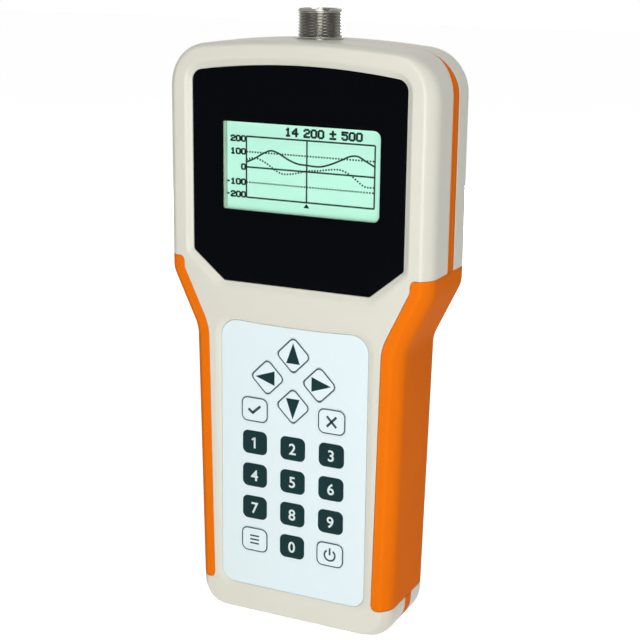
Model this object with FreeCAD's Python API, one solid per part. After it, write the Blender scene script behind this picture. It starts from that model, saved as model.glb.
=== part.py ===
import FreeCAD, Part
import math
import os

V = FreeCAD.Vector

# Handheld antenna analyzer, upright on its base: +X to the right, -Y the face with the keys,
# +Z up through the antenna socket. Millimetres. "Depth" is counted back from the front face.

# Case: a wide head on a narrower handle, moulded in two shells with a seal band between them
case_depth = 40.0
case_top = 219.5
head_half = 52.2
crown_radius = 360.0
head_corner_radius = 16.0
shoulder_top = 134.1
shoulder_bottom = 112.8
handle_half = 42.0
base_half = 39.5
shoulder_radius = 10.0
neck_radius = 12.0
base_corner_radius = 12.0
front_bevel = 3.4
front_bevel_depth = 4.2
back_bevel = 6.0
back_bevel_depth = 6.7
top_bevel = 1.4
base_bevel = 3.0
wall = 3.0
seal_width = 6.0
boss_radius = 4.0

# Soft grips let into the handle's edges
grip_thickness = 1.5
grip_rise = 6.1
grip_bottom = 14.0
grip_shoulder_lap = 7.2
grip_handle_lap = 6.3
grip_corner_radius = 2.0
grip_neck_radius = 8.0

# Display panel in a dished frame
ridge_width = 4.4
dish_depth = 1.6
dish_apron = 8.1
dish_side_drop = 1.2
dish_floor_spread = 0.2
dish_side_radius = 8.0
dish_floor_radius = 18.0
panel_side_margin = 10.55
panel_top_margin = 8.5
panel_crown_radius = 266.0
panel_corner_radius = 4.0
panel_chamfer_width = 12.65
panel_chamfer_height = 10.4
panel_chamfer_radius = 1.5
panel_floor_drop = 1.8
panel_thickness = 1.0
panel_gap = 0.15
bed_thickness = 1.8
bed_border = 2.0

# Window and display module
window_x = 1.5
window_rise = 2.95
window_width = 61.2
window_height = 31.8
window_radius = 3.0
lens_border = 2.0
lens_thickness = 0.8
window_rim = 4.0
display_depth = 5.6
bezel_width = 71.6
bezel_height = 40.0
bezel_depth = 5.0
bezel_lip = 0.4
bezel_wall = 0.8
view_width = 64.6
view_height = 34.0
glass_thickness = 1.8
display_board_lap = 0.2
display_board_thickness = 1.6
display_screw_gap = 0.85
display_screw_edge = 3.0
header_pins = 20
pin_spacing = 2.54
header_body = 2.5
header_edge = 2.95
pin_width = 0.64

# Keypad: a film with eighteen keys over a spacer, snap domes and a circuit
keypad_side_margin = 9.9
keypad_top_margin = 6.8
keypad_dip_radius = 480.0
keypad_bottom = 13.9
keypad_top_radius = 6.5
keypad_bottom_radius = 5.0
keypad_sink = 0.7
keypad_gap = 0.3
overlay_thickness = 0.5
spacer_thickness = 1.3
circuit_thickness = 0.3
dome_radius = 3.4
dome_height = 0.25
tray_thickness = 1.5
tray_border = 2.0
key_gap = 0.15
key_proud = 0.3
key_travel = 0.4
key_flange = 0.6
flange_gap = 0.2
flange_clearance = 0.05
number_key_width = 9.7
number_key_height = 8.6
number_key_radius = 2.0
outline_key_width = 10.9
outline_key_height = 9.5
outline_key_radius = 2.5
arrow_key_across = 13.0
arrow_key_radius = 1.6
column_pitch = 15.75
row_pitch = 12.94
last_row_rise = 18.9
arrow_rise = 13.1
arrow_reach_x = 10.53
arrow_reach_z = 9.67
tail_width = 12.0
tail_slot = 1.0
tail_drop = 4.0
tail_socket_depth = 3.2
tail_socket_height = 5.0
tail_socket_border = 2.0

# Main circuit board
board_thickness = 1.6
board_edge_gap = 1.5
board_top_gap = 2.0
board_step_rise = 15.9
board_handle_half = 22.0
board_base_gap = 2.0
standoff_radius = 2.5
screw_hole_radius = 1.1
small_screw_radius = 1.05
small_screw_head_radius = 2.0
small_screw_head = 1.4
small_screw_length = 5.0
standoff_edge = 4.0
board_tab_half = 3.5
board_tab_rise = 2.5
middle_standoff_rise = 6.6
processor_side = 14.0
processor_height = 1.4
shield_width = 30.0
shield_height = 22.0
shield_depth = 3.6
shield_wall = 0.3
shield_gap = 11.0
buzzer_radius = 6.0
buzzer_depth = 5.0
buzzer_edge = 11.0
buzzer_drop = 14.0
small_part_width = 3.2
small_part_height = 1.6
small_part_depth = 1.1
small_part_rows = 4
small_part_columns = 6
small_part_pitch = 5.2
small_part_gap = 12.4

# Computer socket in the base, square shell with a tongue
port_width = 12.0
port_depth = 10.8
port_length = 16.0
port_wall = 0.6
port_floor = 2.0
port_recess = 0.8
port_gap = 0.4
tongue_width = 5.6
tongue_thickness = 3.2

# Antenna socket, a UHF socket through the top
thread_length = 10.1
thread_radius = 7.94
collar_step = 0.36  # the plain collar under the thread is this much larger
collar_rise = 0.4  # and stands this far out of the case
socket_hole_gap = 0.2
socket_inner_radius = 6.1
flange_side = 25.4
flange_thickness = 3.0
flange_hole_pitch = 18.26
flange_screw_radius = 1.45
flange_hole_radius = 1.6
flange_screw_head = 2.0
flange_screw_head_radius = 2.7
flange_screw_bite = 2.8
pad_thickness = 1.0
pad_border = 0.8
socket_floor = 1.5
socket_tail_radius = 5.5
socket_tail = 6.5
insulator_radius = 4.0
insulator_drop = 2.0
contact_radius = 2.5
contact_bore_radius = 2.0
contact_bore_depth = 12.0
contact_drop = 1.5
contact_tail = 1.5
solder_tail_radius = 1.2
solder_tail = 7.5

# Battery tray, cells and door in the back of the handle
cell_radius = 7.25
cell_length = 50.5
cell_nub_radius = 2.75
cell_nub = 1.0
cell_spacing = 0.7
cell_count = 3
cell_gap = 0.4
cell_back_gap = 0.4
tray_wall = 2.0
tray_floor_thickness = 1.0
tray_port_gap = 1.2
contact_plate = 0.5
contact_plate_width = 10.0
spring_radius = 3.2
spring_wire = 0.5
spring_turns = 4
spring_length = 3.4
door_thickness = 2.0
door_border = 3.5
door_gap = 0.2
door_corner_radius = 3.0
door_rib_height = 0.6
door_rib_count = 5
door_rib_pitch = 3.0
door_rib_width = 26.0

# Screws that hold the two shells together
screw_side_margin = 9.7
screw_top_margin = 15.5
screw_shoulder_rise = 10.9
base_screw_margin = 10.0
base_screw_rise = 11.0
screw_radius = 1.45
screw_clearance = 0.15
screw_head_radius = 2.6
screw_head = 2.0
counterbore_radius = 2.8
screw_seat = 4.0
screw_length = 12.0
pilot_depth = 13.0

# Places that follow from these sizes
spill = 5.0
middle = case_depth / 2
seal_front = middle - seal_width / 2
seal_back = middle + seal_width / 2
grip_top = shoulder_top + grip_rise
panel_half = head_half - panel_side_margin
panel_top = case_top - panel_top_margin
panel_floor = shoulder_top - panel_floor_drop
panel_floor_half = panel_half - panel_chamfer_width
panel_side_end = panel_floor + panel_chamfer_height
dish_floor = panel_floor - dish_apron
dish_floor_half = panel_floor_half + dish_floor_spread
dish_side_end = panel_side_end + dish_side_drop
window_z = (panel_top + panel_floor) / 2 + window_rise
keypad_half = base_half - keypad_side_margin
keypad_top = dish_floor - keypad_top_margin
last_row = keypad_bottom + last_row_rise
first_row = last_row + 3 * row_pitch
control_row = first_row + row_pitch
arrow_centre = control_row + arrow_rise
tail_height = keypad_top - tail_drop
screw_x = head_half - screw_side_margin
screw_high = case_top - screw_top_margin
screw_low = shoulder_top + screw_shoulder_rise
base_screw_x = base_half - base_screw_margin
base_screw_z = base_screw_rise
pad_bottom = case_top - wall - pad_thickness
flange_bottom = pad_bottom - flange_thickness
collar_radius = thread_radius + collar_step
cavity_floor = flange_bottom + socket_floor
socket_tail_end = flange_bottom - socket_tail
collar_top = case_top + collar_rise
socket_top = collar_top + thread_length
contact_top = socket_top - contact_drop
contact_end = socket_tail_end - contact_tail
board_back = middle - solder_tail_radius
board_front = board_back - board_thickness
board_head_half = screw_x - boss_radius - board_edge_gap
board_top = socket_tail_end - board_top_gap
board_step = shoulder_top + board_step_rise
board_bottom = wall + board_base_gap
head_standoff_x = board_head_half - standoff_edge
head_standoff_z = board_top + board_tab_rise
handle_standoff_x = board_handle_half - standoff_edge
middle_standoff_z = keypad_top + middle_standoff_rise
bottom_standoff_z = board_bottom + standoff_edge
shield_z = board_step - shield_gap
processor_z = window_z
buzzer_x = board_head_half - buzzer_edge
buzzer_z = board_top - buzzer_drop
small_part_z = tail_height - small_part_gap
rear_inside = case_depth - wall
cell_pitch = 2 * cell_radius + cell_spacing
cell_depth = rear_inside - cell_back_gap - cell_radius
tray_floor_depth = cell_depth - cell_radius - cell_gap / 2 - tray_floor_thickness
tray_bottom = port_recess + port_length + tray_port_gap


def at(depth):
    """The Y of a plane that lies this deep behind the front face."""
    return depth - middle


def box(x0, x1, depth0, depth1, z0, z1):
    """A block between two corners."""
    return Part.makeBox(x1 - x0, depth1 - depth0, z1 - z0, V(x0, at(depth0), z0))


def block(x, z, width, height, depth0, depth1):
    """A block centred on one place of the face."""
    return box(x - width / 2, x + width / 2, depth0, depth1, z - height / 2, z + height / 2)


def rod_back(x, z, radius, depth0, depth1):
    """A round rod that runs straight back."""
    return Part.makeCylinder(radius, depth1 - depth0, V(x, at(depth0), z), V(0, 1, 0))


def rod_up(x, depth, radius, z0, z1):
    """A round rod that stands upright."""
    return Part.makeCylinder(radius, z1 - z0, V(x, at(depth), z0), V(0, 0, 1))


def joined(pieces):
    """One solid from pieces that touch."""
    whole = pieces[0]
    for piece in pieces[1:]:
        whole = whole.fuse(piece)
    return whole.removeSplitter()


def without(shape, cutters):
    """The shape with every cutter taken out."""
    for cutter in cutters:
        shape = shape.cut(cutter)
    return shape


def mirrored(shape):
    """The same shape on the other side."""
    return shape.mirror(V(0, 0, 0), V(1, 0, 0))


def rounded_corner(before, corner, after, radius):
    """Start, middle and end of the arc that rounds a corner."""
    arriving = (corner - before).normalize()
    leaving = (after - corner).normalize()
    turn = arriving.getAngle(leaving)
    cut = radius * math.tan(turn / 2)
    inward = (leaving - arriving).normalize()
    peak = corner + inward * (radius / math.cos(turn / 2) - radius)
    return corner - arriving * cut, peak, corner + leaving * cut


def rounded_trail(corners, depth):
    """Lines between rounded corners. The first and last corners are plain ends."""
    points = [V(x, at(depth), z) for x, z, radius in corners]
    edges = []
    start = points[0]
    for before, corner, after, place in zip(points, points[1:], points[2:], corners[1:]):
        arc_start, peak, arc_end = rounded_corner(before, corner, after, place[2])
        edges.append(Part.LineSegment(start, arc_start).toShape())
        edges.append(Part.Arc(arc_start, peak, arc_end).toShape())
        start = arc_end
    edges.append(Part.LineSegment(start, points[-1]).toShape())
    return edges


def rounded_loop(corners, depth):
    """A closed loop of (x, z, radius) corners."""
    x0, z0, radius0 = corners[0]
    x1, z1, radius1 = corners[-1]
    gap = ((x0 + x1) / 2, (z0 + z1) / 2, 0)
    return Part.Wire(rounded_trail([gap] + corners + [gap], depth))


def rectangle(x, z, width, height, radius):
    """The corners of a rounded rectangle."""
    right, top = width / 2, height / 2
    signs = ((1, 1), (1, -1), (-1, -1), (-1, 1))
    return [(x + right * sx, z + top * sz, radius) for sx, sz in signs]


def diamond(x, z, across, radius):
    """The corners of a square stood on its corner, "across" from tip to rounded tip."""
    reach = across / 2 + radius * (math.sqrt(2) - 1)
    return [(x, z + reach, radius), (x + reach, z, radius), (x, z - reach, radius), (x - reach, z, radius)]


def slab(loop, thickness):
    """A flat piece of this thickness behind its outline."""
    return Part.Face(loop).extrude(V(0, thickness, 0))


def outline(half, top, crown, corner, side):
    """An outline with a crowned top edge and a side line of (x, z, radius) corners down to its floor."""
    return {"half": half, "top": top, "crown": crown, "corner": corner, "side": side}


def crowned_loop(shape, depth):
    """The closed loop of an outline. A negative crown dips in the middle."""
    half, top, crown, corner = shape["half"], shape["top"], shape["crown"], shape["corner"]
    reach = crown - corner
    rise = math.copysign(math.sqrt(reach ** 2 - (half - corner) ** 2), crown)
    corner_z = top - crown + rise
    crown_centre = V(0, at(depth), top - crown)
    corner_centre = V(half - corner, at(depth), corner_z)
    tangent = crown_centre + (corner_centre - crown_centre) * (crown / reach)
    way_out = (tangent - corner_centre).normalize() + V(1, 0, 0)
    peak = corner_centre + way_out.normalize() * corner
    side_top = V(half, at(depth), corner_z)
    right = [(half, corner_z, 0)] + shape["side"]
    left = [(-x, z, radius) for x, z, radius in reversed(right)]
    mirror = FreeCAD.Matrix(-1, 0, 0, 0, 0, 1, 0, 0, 0, 0, 1, 0, 0, 0, 0, 1)
    edges = [Part.Arc(mirror * tangent, V(0, at(depth), top), tangent).toShape()]
    edges.append(Part.Arc(tangent, peak, side_top).toShape())
    edges += rounded_trail(right + left, depth)
    edges.append(Part.Arc(mirror * side_top, mirror * peak, mirror * tangent).toShape())
    return Part.Wire(edges)


def inset_side(half, side, insets):
    """A side line with each of its runs moved inwards by its own amount and met again."""
    corners = [(half, side[0][1] + 1)] + [(x, z) for x, z, radius in side] + [(0, side[-1][1])]
    runs = []
    for (x0, z0), (x1, z1), inset in zip(corners, corners[1:], insets):
        length = math.hypot(x1 - x0, z1 - z0)
        along_x, along_z = (x1 - x0) / length, (z1 - z0) / length
        runs.append((x0 + along_z * inset, z0 - along_x * inset, along_x, along_z, inset))
    moved = []
    for first, second, place in zip(runs, runs[1:], side):
        px, pz, ux, uz, first_inset = first
        qx, qz, wx, wz, second_inset = second
        turn = ux * wz - uz * wx
        way = ((qx - px) * wz - (qz - pz) * wx) / turn
        change = (first_inset + second_inset) / 2
        radius = place[2] + change if turn > 0 else place[2] - change
        moved.append((px + ux * way, pz + uz * way, radius))
    return moved


def inset_outline(shape, side, top, base):
    """An outline moved inwards: its sides, its top edge and its floor."""
    insets = [side] * len(shape["side"]) + [base]
    crown = shape["crown"] - top
    corner = shape["corner"] - (side + top) / 2
    moved = inset_side(shape["half"], shape["side"], insets)
    return outline(shape["half"] - side, shape["top"] - top, crown, corner, moved)


case_outline = outline(head_half, case_top, crown_radius, head_corner_radius, [
    (head_half, shoulder_top, shoulder_radius),
    (handle_half, shoulder_bottom, neck_radius),
    (base_half, 0, base_corner_radius)])
front_outline = inset_outline(case_outline, front_bevel, top_bevel, base_bevel)
back_outline = inset_outline(case_outline, back_bevel, back_bevel, base_bevel)


def case_form(inset):
    """The case's outer form, or the same form a wall's thickness further in."""
    front_lean = math.atan2(front_bevel_depth, front_bevel)
    back_lean = math.atan2(back_bevel_depth, back_bevel)
    quarter = math.pi / 2
    sections = [
        (front_outline, inset, math.tan(front_lean / 2)),
        (case_outline, front_bevel_depth + inset * math.tan((quarter - front_lean) / 2), 1),
        (case_outline, case_depth - back_bevel_depth - inset * math.tan((quarter - back_lean) / 2), 1),
        (back_outline, case_depth - inset, math.tan(back_lean / 2))]
    loops = []
    for shape, depth, share in sections:
        loops.append(crowned_loop(inset_outline(shape, inset * share, inset * share, inset * share), depth))
    return Part.makeLoft(loops, True, True)


def layer(depth0, depth1):
    """Everything between two depths."""
    return box(-head_half - spill, head_half + spill, depth0, depth1, -spill, socket_top + spill)


outer_form = case_form(0)
inner_form = case_form(wall)
hollow_case = outer_form.cut(inner_form)


# ---------------------------------------------------------------- grips and seal
def grip():
    """Soft skin over the right edge of the handle, from the front face round to the back."""
    insets = [grip_shoulder_lap, grip_shoulder_lap, grip_handle_lap, 0]
    head, neck, foot = inset_side(head_half, case_outline["side"], insets)
    shoulder_slope = (head[0] - neck[0]) / (head[1] - neck[1])
    handle_slope = (neck[0] - foot[0]) / (neck[1] - foot[1])
    top_x = neck[0] + shoulder_slope * (grip_top - neck[1])
    bottom_x = foot[0] + handle_slope * (grip_bottom - foot[1])
    beyond = head_half + spill
    corners = [
        (beyond, grip_top, grip_corner_radius), (beyond, grip_bottom, grip_corner_radius),
        (bottom_x, grip_bottom, grip_corner_radius), (neck[0], neck[1], grip_neck_radius),
        (top_x, grip_top, grip_corner_radius)]
    region = slab(rounded_loop(corners, -spill), case_depth + 2 * spill)
    skin = outer_form.cut(case_form(grip_thickness))
    return skin.common(region)


grip_right = grip()
grip_left = mirrored(grip_right)
grips = [grip_left, grip_right]


# ---------------------------------------------------------------- display panel and window
panel_outline = outline(panel_half, panel_top, panel_crown_radius, panel_corner_radius, [
    (panel_half, panel_side_end, panel_chamfer_radius),
    (panel_floor_half, panel_floor, panel_chamfer_radius)])
panel_back = dish_depth + panel_thickness
lens_back = panel_back + lens_thickness
bed_back = panel_back + bed_thickness


def window_loop(border, depth):
    """The window's rounded rectangle, or one with a border round it."""
    width, height = window_width + 2 * border, window_height + 2 * border
    return rounded_loop(rectangle(window_x, window_z, width, height, window_radius + border), depth)


def dish():
    """The dished recess that falls from the ridge to the panel's edge, with the panel's pocket."""
    ridge = inset_outline(front_outline, ridge_width, ridge_width, ridge_width)
    half = ridge["half"]
    rim_side = [(half, dish_side_end, dish_side_radius), (dish_floor_half, dish_floor, dish_floor_radius)]
    rim = outline(half, ridge["top"], ridge["crown"], ridge["corner"], rim_side)
    seat = inset_outline(panel_outline, -panel_gap, -panel_gap, -panel_gap)
    loops = [crowned_loop(rim, -spill), crowned_loop(rim, 0), crowned_loop(seat, dish_depth)]
    slope = Part.makeLoft(loops, True, True)
    pocket = slab(crowned_loop(seat, dish_depth), panel_thickness)
    return [slope, pocket]


def display_panel():
    plate = slab(crowned_loop(panel_outline, dish_depth), panel_thickness)
    return plate.cut(slab(window_loop(0, dish_depth), panel_thickness))


def display_lens():
    return slab(window_loop(lens_border, panel_back), lens_thickness)


def window_well():
    """The rim behind the panel that carries the lens and meets the display."""
    bed = slab(crowned_loop(inset_outline(panel_outline, -bed_border, -bed_border, -bed_border), panel_back),
               bed_thickness)
    rim = slab(window_loop(window_rim, panel_back), display_depth - panel_back)
    return [bed, rim]


def window_cuts():
    lens_seat = slab(window_loop(lens_border + panel_gap, panel_back), lens_thickness)
    opening = slab(window_loop(0, dish_depth), display_depth)
    return [lens_seat, opening]


# ---------------------------------------------------------------- display module
glass_front = display_depth + bezel_lip
glass_back = glass_front + glass_thickness
bezel_back = display_depth + bezel_depth
display_board_back = bezel_back + display_board_thickness
display_board_width = bezel_width + 2 * display_board_lap
display_screw_x = display_board_width / 2 - display_screw_edge
display_screw_z = bezel_height / 2 + display_screw_gap + standoff_radius
display_board_height = 2 * (display_screw_z + display_screw_edge)
display_screws = [(window_x + sx * display_screw_x, window_z + sz * display_screw_z)
                  for sx in (-1, 1) for sz in (-1, 1)]


def display_block(width, height, depth0, depth1):
    return block(window_x, window_z, width, height, depth0, depth1)


def lcd_bezel():
    inner_width, inner_height = bezel_width - 2 * bezel_wall, bezel_height - 2 * bezel_wall
    frame = display_block(bezel_width, bezel_height, display_depth, bezel_back)
    view = display_block(view_width, view_height, display_depth, bezel_back)
    return without(frame, [view, display_block(inner_width, inner_height, glass_front, bezel_back)])


def lcd_glass():
    width, height = bezel_width - 2 * bezel_wall, bezel_height - 2 * bezel_wall
    return display_block(width, height, glass_front, glass_back)


def lcd_backlight():
    width, height = bezel_width - 2 * bezel_wall, bezel_height - 2 * bezel_wall
    return display_block(width, height, glass_back, bezel_back)


def lcd_board(grow=0.0):
    board = display_block(display_board_width + 2 * grow, display_board_height + 2 * grow,
                          bezel_back, display_board_back)
    return without(board, [rod_back(x, z, screw_hole_radius, bezel_back, display_board_back)
                           for x, z in display_screws])


def display_header():
    """The pin strip between the display's board and the main board."""
    z = window_z + display_board_height / 2 - header_edge
    width = header_pins * pin_spacing
    pieces = [block(window_x, z, width, pin_spacing, display_board_back, display_board_back + header_body)]
    for pin in range(header_pins):
        x = window_x + (pin - (header_pins - 1) / 2) * pin_spacing
        pieces.append(block(x, z, pin_width, pin_width, display_board_back + header_body, board_front))
    return joined(pieces)


# ---------------------------------------------------------------- keypad
overlay_back = keypad_sink + overlay_thickness
circuit_front = overlay_back + spacer_thickness
pocket_floor = circuit_front + circuit_thickness
tray_back = pocket_floor + tray_thickness
key_front = keypad_sink - key_proud
flange_front = overlay_back + flange_clearance
flange_back = circuit_front - dome_height - key_travel - flange_clearance
keypad_outline = outline(keypad_half, keypad_top, -keypad_dip_radius, keypad_top_radius, [
    (keypad_half, keypad_bottom, keypad_bottom_radius)])


def number_key(x, z, grow):
    width, height = number_key_width + 2 * grow, number_key_height + 2 * grow
    return rectangle(x, z, width, height, number_key_radius + grow)


def outline_key(x, z, grow):
    width, height = outline_key_width + 2 * grow, outline_key_height + 2 * grow
    return rectangle(x, z, width, height, outline_key_radius + grow)


def arrow_key(x, z, grow):
    return diamond(x, z, arrow_key_across + 2 * grow, arrow_key_radius + grow)


keys = {
    "key_up": (arrow_key, 0, arrow_centre + arrow_reach_z),
    "key_down": (arrow_key, 0, arrow_centre - arrow_reach_z),
    "key_left": (arrow_key, -arrow_reach_x, arrow_centre),
    "key_right": (arrow_key, arrow_reach_x, arrow_centre),
    "key_enter": (outline_key, -column_pitch, control_row),
    "key_cancel": (outline_key, column_pitch, control_row),
    "key_0": (number_key, 0, last_row),
    "key_function": (outline_key, -column_pitch, last_row),
    "key_power": (outline_key, column_pitch, last_row)}
for number in range(1, 10):
    row, column = divmod(number - 1, 3)
    keys["key_%d" % number] = (number_key, (column - 1) * column_pitch, first_row - row * row_pitch)


def key_slab(key, grow, depth0, depth1):
    form, x, z = key
    return slab(rounded_loop(form(x, z, grow), depth0), depth1 - depth0)


def key_cap(key):
    """A key that shows through the film, with a flange under it that keeps it in."""
    cap = key_slab(key, 0, key_front, flange_back)
    return cap.fuse(key_slab(key, key_flange, flange_front, flange_back)).removeSplitter()


def keypad_slab(inset, depth0, depth1):
    return slab(crowned_loop(inset_outline(keypad_outline, inset, inset, inset), depth0), depth1 - depth0)


def keypad_overlay():
    film = keypad_slab(0, keypad_sink, overlay_back)
    return without(film, [key_slab(key, key_gap, keypad_sink, overlay_back) for key in keys.values()])


def keypad_spacer():
    film = keypad_slab(0, overlay_back, circuit_front)
    reach = key_flange + flange_gap
    return without(film, [key_slab(key, reach, overlay_back, circuit_front) for key in keys.values()])


def keypad_circuit():
    return keypad_slab(0, circuit_front, pocket_floor)


def snap_domes():
    """A pressed steel dome under each key, as flat round caps."""
    domes = []
    for form, x, z in keys.values():
        foot = V(x, at(circuit_front), z)
        domes.append(Part.makeCone(dome_radius, dome_radius / 2, dome_height, foot, V(0, -1, 0)))
    return Part.makeCompound(domes)


tail_socket_front = board_front - tail_socket_depth


def keypad_tail():
    return block(0, tail_height, tail_width, circuit_thickness, pocket_floor, tail_socket_front)


def tail_socket():
    width = tail_width + 2 * tail_socket_border
    return block(0, tail_height, width, tail_socket_height, tail_socket_front, board_front)


# ---------------------------------------------------------------- screws and bosses
def both_sides(places):
    """Places on the right and their mirror images."""
    return [(side * x, z) for x, z in places for side in (-1, 1)]


case_screw_places = both_sides([(screw_x, screw_high), (screw_x, screw_low), (base_screw_x, base_screw_z)])
board_screw_places = both_sides([
    (head_standoff_x, head_standoff_z),
    (handle_standoff_x, middle_standoff_z),
    (handle_standoff_x, bottom_standoff_z)])


def screw(x, z, seat, radius, length, head_radius, head):
    """A pan head screw driven from behind, its head's underside at the seat."""
    shank = rod_back(x, z, radius, seat - length, seat)
    return shank.fuse(rod_back(x, z, head_radius, seat, seat + head)).removeSplitter()


def case_screws():
    seat = middle + screw_seat
    return Part.makeCompound([screw(x, z, seat, screw_radius, screw_length, screw_head_radius, screw_head)
                              for x, z in case_screw_places])


def board_screws():
    seats = [(x, z, board_back) for x, z in board_screw_places]
    seats += [(x, z, display_board_back) for x, z in display_screws]
    screws = []
    for x, z, seat in seats:
        screws.append(screw(x, z, seat, small_screw_radius, small_screw_length,
                            small_screw_head_radius, small_screw_head))
    return Part.makeCompound(screws)


# ---------------------------------------------------------------- antenna socket
flange_reach = flange_hole_pitch / 2
flange_corners = [(sx * flange_reach, middle + sy * flange_reach) for sx in (-1, 1) for sy in (-1, 1)]


def antenna_socket():
    flange = box(-flange_side / 2, flange_side / 2, middle - flange_side / 2, middle + flange_side / 2,
                 flange_bottom, pad_bottom)
    barrel = rod_up(0, middle, thread_radius, flange_bottom, socket_top)
    collar = rod_up(0, middle, collar_radius, flange_bottom, collar_top)
    tail = rod_up(0, middle, socket_tail_radius, socket_tail_end, flange_bottom)
    body = joined([flange, collar, barrel, tail])
    cuts = [rod_up(0, middle, socket_inner_radius, cavity_floor, socket_top)]
    cuts.append(rod_up(0, middle, insulator_radius, socket_tail_end, cavity_floor))
    cuts += [rod_up(x, depth, flange_hole_radius, flange_bottom, pad_bottom) for x, depth in flange_corners]
    return without(body, cuts)


def socket_insulator():
    nub = rod_up(0, middle, insulator_radius, socket_tail_end, socket_top - insulator_drop)
    return nub.cut(rod_up(0, middle, contact_radius, socket_tail_end, socket_top))


def socket_contact():
    """The centre contact: a sleeve that takes the plug's pin, and a tail on the board."""
    sleeve = rod_up(0, middle, contact_radius, contact_end, contact_top)
    tail = rod_up(0, middle, solder_tail_radius, contact_end - solder_tail, contact_end)
    bore = rod_up(0, middle, contact_bore_radius, contact_top - contact_bore_depth, contact_top)
    return joined([sleeve, tail]).cut(bore)


def flange_screws():
    """Two screws from below through the flange's front corners into the front shell."""
    screws = []
    for x, depth in flange_corners:
        if depth < middle:
            shank = rod_up(x, depth, flange_screw_radius, flange_bottom, pad_bottom + flange_screw_bite)
            head_end = flange_bottom - flange_screw_head
            head = rod_up(x, depth, flange_screw_head_radius, head_end, flange_bottom)
            screws.append(shank.fuse(head).removeSplitter())
    return Part.makeCompound(screws)


def socket_pad(depth0, depth1):
    """A flat seat for the flange under the crowned top wall."""
    half = flange_side / 2 + pad_border
    return box(-half, half, depth0, depth1, pad_bottom, pad_bottom + 2 * pad_thickness)


def socket_room():
    """The hole in the top for the collar, and the room for the flange under its seat."""
    hole = rod_up(0, middle, collar_radius + socket_hole_gap, pad_bottom - spill, socket_top)
    half = flange_side / 2 + socket_hole_gap
    return hole.fuse(box(-half, half, middle - half, middle + half, flange_bottom - spill, pad_bottom))


# ---------------------------------------------------------------- battery tray and door
tray_half = cell_count * cell_pitch / 2 + cell_gap + tray_wall
tray_end_gap = spring_length + 2 * contact_plate
tray_top = tray_bottom + 2 * tray_wall + cell_length + tray_end_gap
door_half = tray_half + door_border - tray_wall
door_bottom = tray_bottom - door_border
door_top = tray_top + door_border
door_front = case_depth - door_thickness
cell_bottom = tray_bottom + tray_wall + contact_plate
cell_places = [(number - (cell_count - 1) / 2) * cell_pitch for number in range(cell_count)]


def battery_tray():
    outside = box(-tray_half, tray_half, tray_floor_depth, rear_inside, tray_bottom, tray_top)
    inner_half = tray_half - tray_wall
    floor_back = tray_floor_depth + tray_floor_thickness
    inside = box(-inner_half, inner_half, floor_back, rear_inside,
                 tray_bottom + tray_wall, tray_top - tray_wall)
    return outside.cut(inside)


def battery_cell(number):
    """A round cell; the middle one stands on its head."""
    x = cell_places[number]
    body = rod_up(x, cell_depth, cell_radius, 0, cell_length - cell_nub)
    nub = rod_up(x, cell_depth, cell_nub_radius, cell_length - cell_nub, cell_length)
    cell = joined([body, nub])
    if number % 2:
        cell = cell.mirror(V(0, 0, cell_length / 2), V(0, 0, 1))
        cell.translate(V(0, 0, spring_length))
    cell.translate(V(0, 0, cell_bottom))
    return cell


def battery_springs():
    """Coil springs on the flat ends of the cells, as sleeves with one ridge for each turn."""
    springs = []
    for number, x in enumerate(cell_places):
        base = cell_bottom if number % 2 else cell_bottom + cell_length
        step = spring_length / spring_turns
        ridges = [V(spring_radius - 2 * spring_wire, 0, base)]
        for turn in range(spring_turns):
            ridges.append(V(spring_radius - spring_wire, 0, base + turn * step))
            ridges.append(V(spring_radius, 0, base + (turn + 0.5) * step))
        ridges.append(V(spring_radius - spring_wire, 0, base + spring_length))
        ridges.append(V(spring_radius - 2 * spring_wire, 0, base + spring_length))
        ring = Part.Face(Part.makePolygon(ridges + ridges[:1])).revolve(V(0, 0, 0), V(0, 0, 1), 360)
        ring.translate(V(x, at(cell_depth), 0))
        springs.append(ring)
    return Part.makeCompound(springs)


def battery_plates():
    """Contact plates at both ends of the tray."""
    plates = []
    for x in cell_places:
        for z in (tray_bottom + tray_wall, tray_top - tray_wall - contact_plate):
            plates.append(box(x - contact_plate_width / 2, x + contact_plate_width / 2,
                              cell_depth - contact_plate_width / 2, cell_depth + contact_plate_width / 2,
                              z, z + contact_plate))
    return Part.makeCompound(plates)


def door_corners(grow):
    width = 2 * (door_half + grow)
    height = door_top - door_bottom + 2 * grow
    return rectangle(0, (door_top + door_bottom) / 2, width, height, door_corner_radius + grow)


def battery_door():
    """The lid over the cells, with grooves for the thumb."""
    lid = slab(rounded_loop(door_corners(-door_gap), door_front), door_thickness)
    groove_floor = case_depth - door_rib_height
    grooves = []
    for rib in range(door_rib_count):
        z = door_top - door_border - (rib + 1) * door_rib_pitch
        grooves.append(block(0, z, door_rib_width, door_rib_pitch / 2, groove_floor, case_depth))
    return without(lid, grooves)


# ---------------------------------------------------------------- main board and what is on it
def main_board():
    head = box(-board_head_half, board_head_half, board_front, board_back, board_step, board_top)
    handle = box(-board_handle_half, board_handle_half, board_front, board_back, board_bottom, board_step)
    tab = 2 * board_tab_half
    tab_places = both_sides([(head_standoff_x, head_standoff_z)])
    tabs = [block(x, z, tab, tab, board_front, board_back) for x, z in tab_places]
    holes = [rod_back(x, z, screw_hole_radius, board_front, board_back) for x, z in board_screw_places]
    return without(joined([head, handle] + tabs), holes)


def processor():
    return block(0, processor_z, processor_side, processor_side, board_back, board_back + processor_height)


def shield_can():
    """A tin can over the radio circuit."""
    can = block(0, shield_z, shield_width, shield_height, board_back, board_back + shield_depth)
    inside = block(0, shield_z, shield_width - 2 * shield_wall, shield_height - 2 * shield_wall, board_back,
                   board_back + shield_depth - shield_wall)
    return can.cut(inside)


def buzzer():
    return rod_back(buzzer_x, buzzer_z, buzzer_radius, board_back, board_back + buzzer_depth)


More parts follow.
